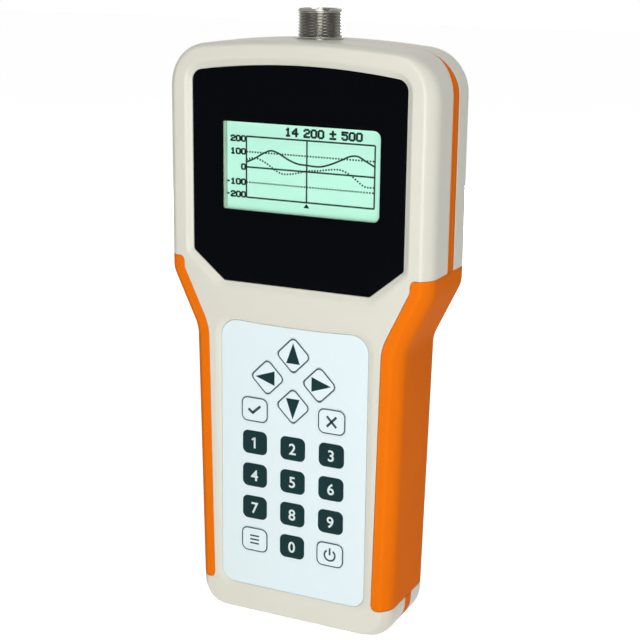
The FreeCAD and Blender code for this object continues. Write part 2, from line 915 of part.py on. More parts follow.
def board_parts():
    """Small parts in rows on the front of the board, behind the keypad."""
    parts = []
    for row in range(small_part_rows):
        for column in range(small_part_columns):
            x = (column - (small_part_columns - 1) / 2) * small_part_pitch
            z = small_part_z - row * small_part_pitch
            front = board_front - small_part_depth
            parts.append(block(x, z, small_part_width, small_part_height, front, board_front))
    return Part.makeCompound(parts)


def usb_socket():
    """The square computer socket: a metal shell, open below, with a tongue."""
    top = port_recess + port_length
    shell = box(-port_width / 2, port_width / 2, board_back, board_back + port_depth, port_recess, top)
    inside = box(port_wall - port_width / 2, port_width / 2 - port_wall, board_back + port_wall,
                 board_back + port_depth - port_wall, port_recess, top - port_floor)
    centre = board_back + port_depth / 2
    reach = tongue_thickness / 2
    tongue = box(-tongue_width / 2, tongue_width / 2, centre - reach, centre + reach,
                 port_recess + port_wall, top - port_floor)
    return shell.cut(inside).fuse(tongue).removeSplitter()


def port_hole():
    half = port_width / 2 + port_gap
    return box(-half, half, board_back - port_gap, board_back + port_depth + port_gap, -spill, wall + spill)


# ---------------------------------------------------------------- shells
def front_shell():
    """Front half of the case: dish, window, keypad recess, bosses and standoffs."""
    body = hollow_case.common(layer(-spill, seal_front))
    tray = keypad_slab(-tray_border, wall / 2, tray_back)
    posts = [rod_back(x, z, boss_radius, wall / 2, middle) for x, z in case_screw_places]
    posts += [rod_back(x, z, standoff_radius, wall / 2, board_front) for x, z in board_screw_places]
    posts += [rod_back(x, z, standoff_radius, panel_back, bezel_back) for x, z in display_screws]
    pad = socket_pad(front_bevel_depth + wall, seal_front)
    body = joined([body, tray, pad] + window_well() + [post.common(outer_form) for post in posts])
    cuts = dish() + window_cuts()
    cuts.append(keypad_slab(-keypad_gap, -spill, pocket_floor))
    slot = 2 * tail_slot
    cuts.append(block(0, tail_height, tail_width + slot, slot, pocket_floor, tray_back + spill))
    cuts += [rod_back(x, z, screw_radius, middle - pilot_depth, middle) for x, z in case_screw_places]
    seats = [(x, z, board_front) for x, z in board_screw_places]
    seats += [(x, z, bezel_back) for x, z in display_screws]
    cuts += [rod_back(x, z, small_screw_radius, seat - small_screw_length, seat) for x, z, seat in seats]
    cuts += [rod_up(x, depth, flange_screw_radius, pad_bottom, pad_bottom + flange_screw_bite)
             for x, depth in flange_corners if depth < middle]
    return without(body, cuts + [lcd_board(display_board_lap), socket_room()] + grips)


def rear_shell():
    """Back half of the case: screw bosses, battery opening and the computer socket's opening."""
    body = hollow_case.common(layer(seal_back, case_depth + spill))
    posts = [rod_back(x, z, boss_radius, middle, case_depth - wall / 2) for x, z in case_screw_places]
    pad = socket_pad(seal_back, case_depth - back_bevel_depth - wall)
    body = joined([body, pad] + [post.common(outer_form) for post in posts])
    cuts = [rod_back(x, z, screw_radius + screw_clearance, middle, case_depth) for x, z in case_screw_places]
    seat = middle + screw_seat
    cuts += [rod_back(x, z, counterbore_radius, seat, case_depth) for x, z in case_screw_places]
    cuts.append(slab(rounded_loop(door_corners(0), door_front), door_thickness + spill))
    cuts.append(box(tray_wall - tray_half, tray_half - tray_wall, rear_inside - spill, case_depth,
                    tray_bottom + tray_wall, tray_top - tray_wall))
    return without(body, cuts + [socket_room(), port_hole()] + grips)


def case_seal():
    """The soft band between the shells."""
    ring = hollow_case.common(layer(seal_front, seal_back))
    return without(ring, [socket_room(), port_hole()] + grips)


nodes = {
    "front_shell": front_shell(),
    "rear_shell": rear_shell(),
    "case_seal": case_seal(),
    "grip_left": grip_left,
    "grip_right": grip_right,
    "display_panel": display_panel(),
    "display_lens": display_lens(),
    "lcd_glass": lcd_glass(),
    "lcd_bezel": lcd_bezel(),
    "lcd_backlight": lcd_backlight(),
    "lcd_board": lcd_board(),
    "display_header": display_header(),
    "keypad_overlay": keypad_overlay(),
    "keypad_spacer": keypad_spacer(),
    "keypad_circuit": keypad_circuit(),
    "snap_domes": snap_domes(),
    "keypad_tail": keypad_tail(),
    "tail_socket": tail_socket(),
    "main_board": main_board(),
    "processor": processor(),
    "board_parts": board_parts(),
    "shield_can": shield_can(),
    "buzzer": buzzer(),
    "usb_socket": usb_socket(),
    "antenna_socket": antenna_socket(),
    "socket_insulator": socket_insulator(),
    "socket_contact": socket_contact(),
    "flange_screws": flange_screws(),
    "battery_tray": battery_tray(),
    "battery_springs": battery_springs(),
    "battery_plates": battery_plates(),
    "battery_door": battery_door(),
    "case_screws": case_screws(),
    "board_screws": board_screws()}
for number in range(cell_count):
    nodes["battery_cell_%d" % (number + 1)] = battery_cell(number)
for name, key in keys.items():
    nodes[name] = key_cap(key)

os.makedirs("parts", exist_ok=True)
for name, shape in nodes.items():
    shape.exportStep("parts/%s.step" % name)
    size = shape.BoundBox
    print("%-18s %2d solids %10.1f mm3" % (name, len(shape.Solids), shape.Volume),
          " X %7.2f %7.2f" % (size.XMin, size.XMax), " Y %7.2f %7.2f" % (size.YMin, size.YMax),
          " Z %7.2f %7.2f" % (size.ZMin, size.ZMax), "valid", shape.isValid())
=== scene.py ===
import math
import bmesh
import bpy
import mathutils
import numpy as np
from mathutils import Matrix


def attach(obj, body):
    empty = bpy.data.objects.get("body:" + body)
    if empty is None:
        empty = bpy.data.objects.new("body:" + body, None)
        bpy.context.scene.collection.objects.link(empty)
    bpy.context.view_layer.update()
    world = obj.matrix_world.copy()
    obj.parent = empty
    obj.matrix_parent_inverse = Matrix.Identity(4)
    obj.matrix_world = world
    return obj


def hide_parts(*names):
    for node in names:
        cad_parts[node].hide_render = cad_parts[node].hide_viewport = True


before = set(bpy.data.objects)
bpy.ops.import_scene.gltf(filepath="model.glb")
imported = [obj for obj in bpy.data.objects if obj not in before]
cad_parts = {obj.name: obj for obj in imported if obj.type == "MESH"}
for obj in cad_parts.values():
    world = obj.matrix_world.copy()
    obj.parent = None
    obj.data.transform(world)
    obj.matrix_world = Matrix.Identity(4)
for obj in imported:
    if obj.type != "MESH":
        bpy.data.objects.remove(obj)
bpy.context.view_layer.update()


# ------------------------------------------------------------------------------------------------
# Shells. Two injection-moulded shells in warm white ABS make the case: a front one with the dish
# round the display panel and the keypad's pocket, and a rear one with the battery door. Six screws
# from the back draw them together on the seal.
# ------------------------------------------------------------------------------------------------
# Every moulding of the case follows one outline: a crowned head with round corners, shoulders that
# narrow into a handle, and a flat base. Lengths are millimetres, "depth" counts back from the
# front face, and a piece's mesh is turned to metres only when it is made.
case_depth = 40.0
middle = case_depth / 2
case_top = 219.5
head_half = 52.2
grip_top = 140.2
grip_bottom = 14.0
split_z = 121.0
neck_half, neck_z = 42.0, 112.8
foot_half = 39.5
shoulder_z = 134.1
shoulder_round, neck_round, foot_round = 10.0, 12.0, 12.0
crown_radius, head_corner = 360.0, 16.0
socket_reach = 9.8
port_half = 6.4
# a millimetre in metres, and a metre in millimetres
mm, metre = 0.001, 1000


def turn_run(place, way_in, way_out, radius, steps=24):
    """Points and normals of the arc that rounds one corner, as x, z, nx, nz: the normal turns
    evenly from the first run's to the second's, and the point stays one radius from the arc's
    centre."""
    first, last = math.atan2(way_in[0], -way_in[1]), math.atan2(way_out[0], -way_out[1])
    swing = (last - first + math.pi) % (2 * math.pi) - math.pi
    bulge = -1.0 if swing > 0 else 1.0
    back = radius * math.tan(abs(swing) / 2)
    start = np.array(place) - back * np.array(way_in)
    angle = first + swing * np.linspace(0, 1, steps)
    normal = np.stack([np.cos(angle), np.sin(angle)], 1)
    centre = start - bulge * radius * normal[0]
    return np.hstack([centre + bulge * radius * normal, normal])


def side_path(start, corners):
    """A path of straight runs joined by arcs, as x, z, nx, nz. It starts with a point and its
    normal and follows (x, z, radius) corners clockwise; a corner of radius 0 is only a mark.
    Returns the points of each run and arc as a piece of their own."""
    pieces = [np.array([start])]
    places = [start[:2]] + [corner[:2] for corner in corners]
    for before, (x, z, radius), after in zip(places, corners, places[2:] + [None]):
        way_in = np.subtract((x, z), before)
        way_in = way_in / np.hypot(*way_in)
        normal = (-way_in[1], way_in[0])
        if radius and after is not None:
            way_out = np.subtract(after, (x, z))
            way_out = way_out / np.hypot(*way_out)
            arc = turn_run((x, z), way_in, way_out, radius)
            pieces += [arc[:1], arc[1:]]
        else:
            pieces.append(np.array([[x, z, *normal]]))
    return pieces


def crown_path(half, top, crown, corner, side):
    """Half an outline from the middle of its crowned top edge, round its upper corner and down its
    side: the crown is an arc about a centre on the axis, tangent to the corner's arc."""
    lean = math.asin((half - corner) / (crown - corner))
    angle = lean * np.linspace(0, 1, 40)
    normal = np.stack([np.sin(angle), np.cos(angle)], 1)
    arc = np.hstack([np.array([0, top - crown]) + crown * normal, normal])
    corner_z = top - crown + (crown - corner) * math.cos(lean)
    angle = np.linspace(lean, math.pi / 2, 24)[1:]
    normal = np.stack([np.sin(angle), np.cos(angle)], 1)
    bend = np.hstack([np.array([half - corner, corner_z]) + corner * normal, normal])
    return [arc, bend] + side_path((half, corner_z, 1.0, 0.0), side)[1:]


def measured(pieces):
    """Joins the pieces of a path and measures it: its points, the length up to each point, and
    the length up to each piece's end."""
    path = np.vstack(pieces)
    steps = np.hypot(*np.diff(path[:, :2], axis=0).T)
    path = path[np.append(True, steps > 1e-9)]
    way = np.append(0, np.cumsum(steps[steps > 1e-9]))
    tail = np.cumsum([len(piece) for piece in pieces]) - 1
    ends = np.append(0, np.cumsum(steps))[tail]
    return path, way, ends


def along(path, way, places):
    """Points and unit normals of a path at any lengths along it, by straight interpolation."""
    found = np.stack([np.interp(places, way, path[:, column]) for column in range(4)], -1)
    found[..., 2:] /= np.linalg.norm(found[..., 2:], axis=-1, keepdims=True)
    return found


def steps_between(marks, counts):
    """Even steps between marks, with the given number of steps in each stretch."""
    runs = [np.linspace(start, end, count, endpoint=False)
            for start, end, count in zip(marks, marks[1:], counts)]
    return np.concatenate(runs + [marks[-1:]])


def closed_loop(half):
    """A whole loop from its right half, which runs from the top middle to the bottom middle."""
    return np.vstack([half, (half * [-1, 1, -1, 1])[-2:0:-1]])


def stepped_loop(pieces, counts):
    """A whole loop from the pieces of its right half, with a number of even steps in each piece."""
    path, way, ends = measured(pieces)
    return closed_loop(along(path, way, steps_between(np.append(0, ends), counts)))


handle_slope = (neck_half - foot_half) / neck_z
split_half = neck_half + (split_z - neck_z) * (head_half - neck_half) / (shoulder_z - neck_z)
case_side = [(head_half, grip_top, 0), (head_half, shoulder_z, shoulder_round),
             (split_half, split_z, 0), (neck_half, neck_z, neck_round),
             (foot_half + grip_bottom * handle_slope, grip_bottom, 0),
             (foot_half, 0, foot_round), (port_half, 0, 0), (0, 0, 0)]
case_crown = crown_path(head_half, case_top, crown_radius, head_corner, case_side)
case_path, case_way, ends = measured(case_crown)
# the marks are the top's middle, the socket's hole, the ends of the crown and corner, the grip's
# top, the shoulder's arc, the split between head and handle, the neck's arc, the grip's bottom,
# the foot's arc, the port and the base's middle
case_marks = np.append([0, socket_reach], ends)
case_counts = [11, 20, 14, 40, 4, 6, 9, 5, 6, 60, 2, 12, 14, 7]
crown_end, corner_end, grip_from, split_at, grip_to, foot_from, foot_to = \
    case_marks[[2, 3, 4, 7, 10, 11, 12]]
mark_rows = np.append(0, np.cumsum(case_counts))
grip_first, split_row, grip_last, port_row = mark_rows[[4, 7, 10, 13]].tolist()
half_way = steps_between(case_marks, case_counts)
half_count = len(half_way) - 1
total_way = case_way[-1]
# lengths round the whole outline, clockwise from the top middle
loop_way = np.append(half_way, 2 * total_way - half_way[-2:0:-1])
whole_path = np.vstack([case_path, (case_path * [-1, 1, -1, 1])[-2::-1]])
whole_way = np.append(case_way, 2 * total_way - case_way[-2::-1])

# the skin over that outline: its bevels, folds, walls and recesses
crown_bevel, front_bevel, base_bevel = 2.2, 4.2, 8.0
crown_bevel_width, front_bevel_width, base_bevel_width = 1.4, 3.4, 3.8
back_bevel, back_bevel_width, back_base_width = 6.7, 6.0, 3.0
dish_depth = 1.6
apron_depth = 0.45
lip_width = 2.4
fold = 1.0
back_fold = 0.6
skin_wall = 1.2
crease_reach = 2.6
seal_front = 17.0
seal_back = 23.0
seal_play = 0.2
crown_play = 0.22
seam_lip = 1.3
socket_hole, hole_snap = 8.5, 0.55
grip_corner = 2.0
panel_floor_depth = 3.45
window_depth = 5.6
keypad_floor_depth = 2.8
keypad_sink = 0.7
keypad_rim = 2.8
film_snug = 0.13


def soft_max(first, second, width):
    """The larger of two heights, with the corner between them rounded: where they differ by less
    than the width, a quarter of the width times the square of the closeness is added."""
    close = np.clip(width - np.abs(first - second), 0, None) / width
    return np.maximum(first, second) + close ** 2 * width / 4


def gap_to(points, loop):
    """Signed distance from points to a closed loop, negative inside: the least distance to its
    segments, with the side found by counting crossings of a ray."""
    start, end = loop[:, :2], np.roll(loop[:, :2], -1, 0)
    run = end - start
    away = points[:, None] - start
    share = np.clip((away * run).sum(-1) / np.maximum((run ** 2).sum(-1), 1e-12), 0, 1)
    gap = np.linalg.norm(away - share[..., None] * run, axis=-1).min(1)
    spans = (start[:, 1] > points[:, 1:]) != (end[:, 1] > points[:, 1:])
    rise = np.where(run[:, 1] == 0, 1e-12, run[:, 1])
    left = points[:, :1] < start[:, 0] + run[:, 0] * (points[:, 1:] - start[:, 1]) / rise
    return np.where((spans & left).sum(1) % 2 == 1, -gap, gap)


def eased(way, marks, values):
    """A width that goes from value to value between marks along the outline: three times the
    square of the share of the way less twice its cube."""
    mirrored = total_way - np.abs(total_way - way)
    spot = np.clip(np.searchsorted(marks, mirrored) - 1, 0, len(marks) - 2)
    share = (mirrored - np.take(marks, spot)) / np.diff(marks)[spot]
    share = np.clip(share, 0, 1)
    share = share * share * (3 - 2 * share)
    values = np.asarray(values)
    return values[spot] * (1 - share) + values[spot + 1] * share


width_marks = np.array([0, crown_end, corner_end, foot_from, foot_to, total_way])
lap_marks = np.array([0, split_at, grip_to, total_way])

# the dish's rim, with its slanting lower corners
dish_half, dish_foot_half, dish_foot = 44.4, 29.2, 124.2
rim_side = [(dish_half, 143.9, 8.0), (dish_foot_half, dish_foot, 18.0), (0, dish_foot, 0)]
dish_crown = crown_path(dish_half, top=213.7, crown=354.2, corner=9.2, side=rim_side)
dish_path, dish_way, ends = measured(dish_crown)
dish_rim = closed_loop(along(dish_path, dish_way, np.linspace(0, dish_way[-1], 120)))
# the panel's seat in it, a little larger than the panel all round
seat_half, seat_foot_half, seat_foot = 41.8, 29.06, 132.15
seat_side = [(seat_half, 142.62, 1.6), (seat_foot_half, seat_foot, 1.6), (0, seat_foot, 0)]
seat_crown = crown_path(seat_half, top=211.15, crown=266.15, corner=4.15, side=seat_side)
panel_counts = [31, 14, 40, 4, 12, 3, 28]
panel_seat = stepped_loop(seat_crown, panel_counts)
# the seat of the keypad's film, whose upper edge bows down
film_half, film_top, film_foot = 29.9, 117.7, 13.6
film_side = [(film_half, film_foot, 5.3), (0, film_foot, 0)]
film_crown = crown_path(film_half, film_top, crown=-479.7, corner=6.8, side=film_side)
keypad_seat = stepped_loop(film_crown, [28, 11, 62, 12, 21])
keypad_seat[:, :2] -= film_snug * keypad_seat[:, 2:]


def front_depth(x, z, inset, width, height):
    """Depth of the front skin: the bevel falls evenly over its width from the front plane to the
    side. The dish sinks gently from its rim, with the eased share of the way to the panel's seat,
    and steeply over the lip round the seat. The rim of the keypad's recess rolls down as a power
    of the nearness to its edge. The deepest counts, with soft folds."""
    flat = np.stack([np.ravel(x), np.ravel(z)], 1)
    out, within = np.clip(gap_to(flat, panel_seat), 0, None), -gap_to(flat, dish_rim)
    sinking = np.clip(1 - out / np.maximum(out + within, 0.5), 0, 1)
    apron = apron_depth * sinking ** 2 * (3 - 2 * sinking)
    lip = (dish_depth - apron_depth) * np.clip(1 - out / lip_width, 0, 1)
    near = np.clip(1 - gap_to(flat, keypad_seat) / keypad_rim, 0, 1)
    sunk = (apron + lip + keypad_sink * near ** 1.7).reshape(np.shape(x))
    return soft_max(height * (1 - inset / width), sunk, fold)


def skin_grid(way, inset, depth):
    """Points of the case's skin: the outline at each length along it, moved in along its normal."""
    base = along(whole_path, whole_way, way)
    x, z = base[..., 0] - inset * base[..., 2], base[..., 1] - inset * base[..., 3]
    return np.stack([x, np.broadcast_to(depth - middle, x.shape), z], -1)


def carry(loop, profile):
    """A profile carried round a loop: at each point of the loop it goes out along the normal by
    the profile's first figure and lies at the depth of its second; either may differ from point
    to point."""
    out = np.stack([np.broadcast_to(step, len(loop)) for step, depth in profile], 1)
    depth = np.stack([np.broadcast_to(depth, len(loop)) for step, depth in profile], 1)
    x = loop[:, None, 0] + out * loop[:, None, 2]
    z = loop[:, None, 1] + out * loop[:, None, 3]
    return np.stack([x, depth - middle, z], -1)


def sheet(grid, closed=False, keep=None):
    """Quads of a grid of points, row by row, wound so that rows cross columns outwards; keep is a
    mask of the quads that stay."""
    rows, columns = grid.shape[:2]
    row = np.arange(rows if closed else rows - 1)[:, None]
    column = np.arange(columns - 1)[None]
    after = (row + 1) % rows
    quads = np.stack([row * columns + column, after * columns + column,
                      after * columns + column + 1, row * columns + column + 1], -1)
    if keep is not None:
        quads = quads[keep]
    return grid.reshape(-1, 3), quads.reshape(-1, 4)


def make_piece(name, sheets, material, body="case", wall=0.0, sharp=60.0):
    """A mesh piece from sheets of points and faces in millimetres: written in metres, with points
    that meet merged, smooth but for edges sharper than the angle, riding on its body. A wall
    thickens an open one inwards; its first sheet is wound outwards, and the rest follow it."""
    points, faces, count = [], [], 0
    for verts, quads in sheets:
        points.append(np.asarray(verts) * mm)
        if isinstance(quads, np.ndarray):
            faces += (quads + count).tolist()
        else:
            faces += [[index + count for index in face] for face in quads]
        count += len(verts)
    mesh = bpy.data.meshes.new(name)
    mesh.from_pydata(np.vstack(points).tolist(), [], faces)
    work = bmesh.new()
    work.from_mesh(mesh)
    bmesh.ops.remove_doubles(work, verts=work.verts, dist=4e-6)
    loose = [vert for vert in work.verts if not vert.link_faces]
    bmesh.ops.delete(work, geom=loose, context="VERTS")
    first = list(work.faces)[:len(sheets[0][1]) // 2]
    before = [face.normal.copy() for face in first]
    bmesh.ops.recalc_face_normals(work, faces=work.faces)
    work.normal_update()
    if wall and sum(face.normal.dot(old) for face, old in zip(first, before)) < 0:
        bmesh.ops.reverse_faces(work, faces=work.faces)
    work.to_mesh(mesh)
    work.free()
    mesh.shade_smooth()
    mesh.set_sharp_from_angle(angle=math.radians(sharp))
    mesh.materials.append(material)
    thing = bpy.data.objects.new(name, mesh)
    bpy.context.scene.collection.objects.link(thing)
    if wall:
        thicken = thing.modifiers.new("wall", "SOLIDIFY")
        thicken.thickness = wall * mm
        thicken.offset = -1
    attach(thing, body)
    return thing


def linear(code):
    """An sRGB hex colour as linear values: each channel over 0.04045 is raised to the power 2.4."""
    parts = [int(code[place:place + 2], 16) / 255 for place in (0, 2, 4)]
    return [part / 12.92 if part <= 0.04045 else ((part + 0.055) / 1.055) ** 2.4
            for part in parts] + [1.0]


def add(tree, kind, settings=(), links=()):
    """Adds a node to a material's tree: settings set an attribute or, by its name or number, an
    input; links go from another node's output to an input of this one."""
    node = tree.nodes.new(kind)
    for key, value in dict(settings).items():
        if isinstance(key, str) and hasattr(node, key):
            setattr(node, key, value)
        else:
            node.inputs[key].default_value = value
    for key, source in dict(links).items():
        tree.links.new(source, node.inputs[key])
    return node


def finish(name, settings):
    """A material with its surface shader; returns the material, its tree and the shader."""
    material = bpy.data.materials.new(name)
    material.use_nodes = True
    tree = material.node_tree
    shader = tree.nodes["Principled BSDF"]
    for key, value in settings.items():
        shader.inputs[key].default_value = value
    return material, tree, shader


def moulded(name, code, darker, roughness, grain_mm, height_mm, patch_mm=30.0, **settings):
    """A moulded or printed surface: its colour drifts slightly towards a darker one in patches,
    and a fine grain is raised by its height."""
    material, tree, shader = finish(name, {"Roughness": roughness, **settings})
    place = add(tree, "ShaderNodeTexCoord").outputs["Object"]
    drift = add(tree, "ShaderNodeTexNoise", {"Scale": metre / patch_mm, "Detail": 3.0},
                {"Vector": place})
    # a colour mix takes its share at input 0 and its colours at inputs 6 and 7
    tone = add(tree, "ShaderNodeMix", {"data_type": "RGBA", 6: linear(code), 7: linear(darker)},
               {0: drift.outputs[0]})
    grain = add(tree, "ShaderNodeTexNoise",
                {"Scale": metre / grain_mm, "Detail": 4.0, "Roughness": 0.6}, {"Vector": place})
    bump = add(tree, "ShaderNodeBump", {"Strength": 1.0, "Distance": height_mm * mm},
               {"Height": grain.outputs[0]})
    tree.links.new(tone.outputs[2], shader.inputs["Base Color"])
    tree.links.new(bump.outputs[0], shader.inputs["Normal"])
    return material


def dress(nodes, material):
    """Gives CAD nodes their material."""
    for name in nodes:
        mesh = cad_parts[name].data
        mesh.materials.clear()
        mesh.materials.append(material)


# ABS moulded against a spark-eroded tool: a satin skin, whose grain of 0.6 mm breaks highlights
shell_plastic = moulded("moulded_abs", "e5e4d7", "dfded0", roughness=0.42, grain_mm=0.6,
                        height_mm=0.006, patch_mm=45.0)


def corner_shift(edge):
    """How far a grip's end draws back near its rounded corners, by the distance from its long edge:
    the corner's radius less the height of its arc."""
    near = np.clip(grip_corner - np.clip(edge, 0, grip_corner), 0, grip_corner)
    return grip_corner - np.sqrt(grip_corner ** 2 - near ** 2)


def skin_half(width, height, side_depth, face, lap, rim_inset):
    """One half of the skin, as lengths, insets and depths of a grid: across the face from the rim
    to the bevel, round the crease with a quadratic blend, then straight along the side to the
    seal. Near the grip's ends the rows shift to follow its rounded corners."""
    lap, width, height, side_depth = [each[:, None] for each in (lap, width, height, side_depth)]
    reach = crease_reach * width / np.hypot(width, height)
    inset = np.hstack([rim_inset + (lap - rim_inset) * np.linspace(0, 1, lap_column + 1)[:-1],
                       lap + (reach - lap) * np.linspace(0, 1, 15)])
    edge = lap - inset
    shift = np.where(edge >= 0, corner_shift(edge), grip_corner * (1 + edge / (rim_inset - lap)))
    mirrored = (total_way - np.abs(total_way - loop_way))[:, None]
    near_top = np.clip(1 - np.abs(mirrored - grip_from) / shift_reach, 0, 1)
    near_foot = np.clip(1 - np.abs(mirrored - grip_to) / shift_reach, 0, 1)
    side = np.where(loop_way < total_way, 1.0, -1.0)[:, None]
    ways = loop_way[:, None] + side * shift * (near_top - near_foot)
    base = skin_grid(ways, inset, 0.0)
    depth = face(base[..., 0], base[..., 2], inset, width, height)
    blend = np.linspace(0, 1, 7)[1:]
    crease = (1 - blend) ** 2 * depth[:, -1:] + 2 * blend * (1 - blend) * height \
        + blend ** 2 * (height + crease_reach)
    share = np.linspace(0, 1, 12)[1:]
    wall = (height + crease_reach) * (1 - share) + side_depth * share
    inset = np.hstack([inset, (1 - blend) ** 2 * reach, np.zeros_like(wall)])
    depth = np.hstack([depth, crease, wall])
    rest = (len(ways), depth.shape[1] - ways.shape[1])
    ways = np.hstack([ways, np.broadcast_to(loop_way[:, None], rest)])
    return ways, inset, depth


def turned_in(ways, inset, depth, way_in):
    """Adds a small round edge and a lip that runs into the case at the seal."""
    steps = [(0.06, 0.14), (0.2, 0.2), (seam_lip, 0.2)]
    last = depth[:, -1:]
    inset = np.hstack([inset] + [inset[:, -1:] + out for out, deep in steps])
    depth = np.hstack([depth] + [last + way_in * deep for out, deep in steps])
    ways = np.hstack([ways] + [ways[:, -1:]] * len(steps))
    return ways, inset, depth


def opened(grid, keep, radius):
    """Opens a round hole for the socket in the top: points close to its circle are drawn on to it,
    and faces inside go."""
    far = np.hypot(grid[..., 0], grid[..., 1])
    inside = (far < radius + hole_snap) & (grid[..., 2] > grip_top)
    scale = np.where(inside, radius / np.maximum(far, 1e-6), 1.0)
    grid[..., :2] *= scale[..., None]
    after = np.roll(inside, -1, 0)
    return keep & ~(inside[:, :-1] & inside[:, 1:] & after[:, :-1] & after[:, 1:])


def outward(grid, closed):
    """Unit normals of a grid: rows crossed with columns by central differences."""
    rows = (np.roll(grid, -1, 0) - np.roll(grid, 1, 0)) if closed else np.gradient(grid, axis=0)
    normal = np.cross(rows, np.gradient(grid, axis=1))
    return normal / np.maximum(np.linalg.norm(normal, axis=-1, keepdims=True), 1e-9)


lap_column = 3
shift_reach = 8.0
row_numbers = np.arange(len(loop_way))[:, None]
grip_spans = [(grip_first, grip_last), (2 * half_count - grip_last, 2 * half_count - grip_first)]
grip_rows = sum((row_numbers >= first) & (row_numbers < last) for first, last in grip_spans) > 0
port_rows = (row_numbers >= port_row) & (row_numbers < 2 * half_count - port_row)

# bevels round the outline: along the crown, down the sides and across the base
front_width = eased(loop_way, width_marks, np.repeat(
    [crown_bevel_width, front_bevel_width, base_bevel_width], 2))
front_height = eased(loop_way, width_marks, np.repeat([crown_bevel, front_bevel, base_bevel], 2))
back_width = eased(loop_way, width_marks, np.repeat(
    [back_bevel_width, back_bevel_width, back_base_width], 2))
back_height = np.full(len(loop_way), back_bevel)


def back_depth(x, z, inset, width, height):
    """Depth of the rear skin from the back plane: its bevel, with a soft fold."""
    return soft_max(height * (1 - inset / width), 0.0, back_fold)


# how far in the grips lap over the faces, with the rim of each skin just inside
front_lap = eased(loop_way, lap_marks, [7.4, 7.4, 7.1, 7.1])
front_rim_inset = 7.6
back_lap = np.full(len(loop_way), 6.3)
back_rim_inset = 6.6
# the shells meet over the seal along the crown, and part over the corners to let it come through
seal_marks = np.array([0, 42, 60, total_way])
side_reach = eased(loop_way, seal_marks,
                   np.repeat([middle - crown_play, seal_front - seal_play], 2))
front_skin = skin_half(front_width, front_height, side_reach, front_depth, front_lap,
                       front_rim_inset)
ways, inset, depth = skin_half(back_width, back_height, side_reach, back_depth, back_lap,
                               back_rim_inset)
back_skin = (ways, inset, case_depth - depth)


def shell_band(skin, way_in):
    """A shell's outer band with its openings: the grid, its faces and a lip down into the case
    round each grip."""
    grid = skin_grid(*turned_in(*skin, way_in))
    columns = np.arange(grid.shape[1] - 1)[None]
    keep = ~(grip_rows & (columns >= lap_column))
    lips = []
    normal = way_in * outward(grid, True)
    for first, last in grip_spans:
        picks = [(first, column) for column in range(grid.shape[1] - 1, lap_column, -1)]
        picks += [(row, lap_column) for row in range(first, last)]
        picks += [(last, column) for column in range(lap_column, grid.shape[1])]
        rows, spots = np.array(picks).T
        edge = grid[rows, spots]
        lips.append(sheet(np.stack([edge, edge - seam_lip * normal[rows, spots]], 1)))
    keep = opened(grid, keep, socket_hole)
    return grid, keep, lips


def ring_loop(points):
    """A closed loop of x and z with no normals."""
    return np.hstack([points, np.zeros_like(points)])


def between(outer, inner, shares):
    """Rings of points between two loops with as many points, at the given shares of the way."""
    share = np.asarray(shares)[None, :, None]
    return outer[:, None, :2] * (1 - share) + inner[:, None, :2] * share


def laid(flat, depth):
    """A grid of x and z laid at a depth, which may differ from point to point."""
    height = np.broadcast_to(depth - middle, flat.shape[:2])
    return np.stack([flat[..., 0], height, flat[..., 1]], -1)


def face_sheet(outer, inner, shares):
    """The front skin between two loops, at the front's own depth."""
    flat = between(outer, inner, shares)
    return laid(flat, front_depth(flat[..., 0], flat[..., 1], 0.0, 1.0, -case_depth))


def rounded_box(x, z, width, height, radius, counts, left_radius=None):
    """A rounded rectangle as a closed loop with normals, clockwise from the middle of its top; its
    left corners may have their own radius."""
    halves = []
    for turn in (radius, left_radius or radius):
        corners = [(width / 2, height / 2, turn), (width / 2, -height / 2, turn),
                   (0, -height / 2, 0)]
        path, way, ends = measured(side_path((0, height / 2, 0.0, 1.0), corners))
        halves.append(along(path, way, steps_between(ends, counts)))
    return np.vstack([halves[0], (halves[1] * [-1, 1, -1, 1])[-2:0:-1]]) + [x, z, 0, 0]


def circle(x, z, radius, count=40):
    """A round loop with normals, clockwise from its top: the sine and cosine of even turns."""
    angle = np.linspace(0, 2 * math.pi, count, endpoint=False)
    normal = np.stack([np.sin(angle), np.cos(angle)], 1)
    return np.hstack([[x, z] + radius * normal, normal])


def gathered(loop, depth, x, z):
    """A flat floor inside a loop, closed in its middle."""
    return laid(between(loop, np.broadcast_to([x, z, 0, 0], loop.shape), [0, 0.5, 1]), depth)


def mesh_of(curve):
    """The points and faces of a flat curve or of text, turned into a mesh."""
    thing = bpy.data.objects.new(curve.name, curve)
    mesh = bpy.data.meshes.new_from_object(thing)
    verts = np.zeros(len(mesh.vertices) * 3, dtype=np.float32)
    mesh.vertices.foreach_get("co", verts)
    faces = [tuple(face.vertices) for face in mesh.polygons]
    bpy.data.objects.remove(thing)
    bpy.data.meshes.remove(mesh)
    return verts.reshape(-1, 3).astype(float), faces


def flat_fill(loops, depth):
    """The flat face between an outer loop and the holes in it, filled as a flat curve."""
    curve = bpy.data.curves.new("plate_outline", "CURVE")
    curve.dimensions = "2D"
    curve.fill_mode = "BOTH"
    for loop in loops:
        spline = curve.splines.new("POLY")
        spline.points.add(len(loop) - 1)
        points = np.hstack([loop[:, :2], np.zeros((len(loop), 1)), np.ones((len(loop), 1))])
        spline.points.foreach_set("co", points.astype(np.float32).ravel())
        spline.use_cyclic_u = True
    verts, faces = mesh_of(curve)
    return np.stack([verts[:, 0], np.full(len(verts), depth - middle), verts[:, 1]], 1), faces


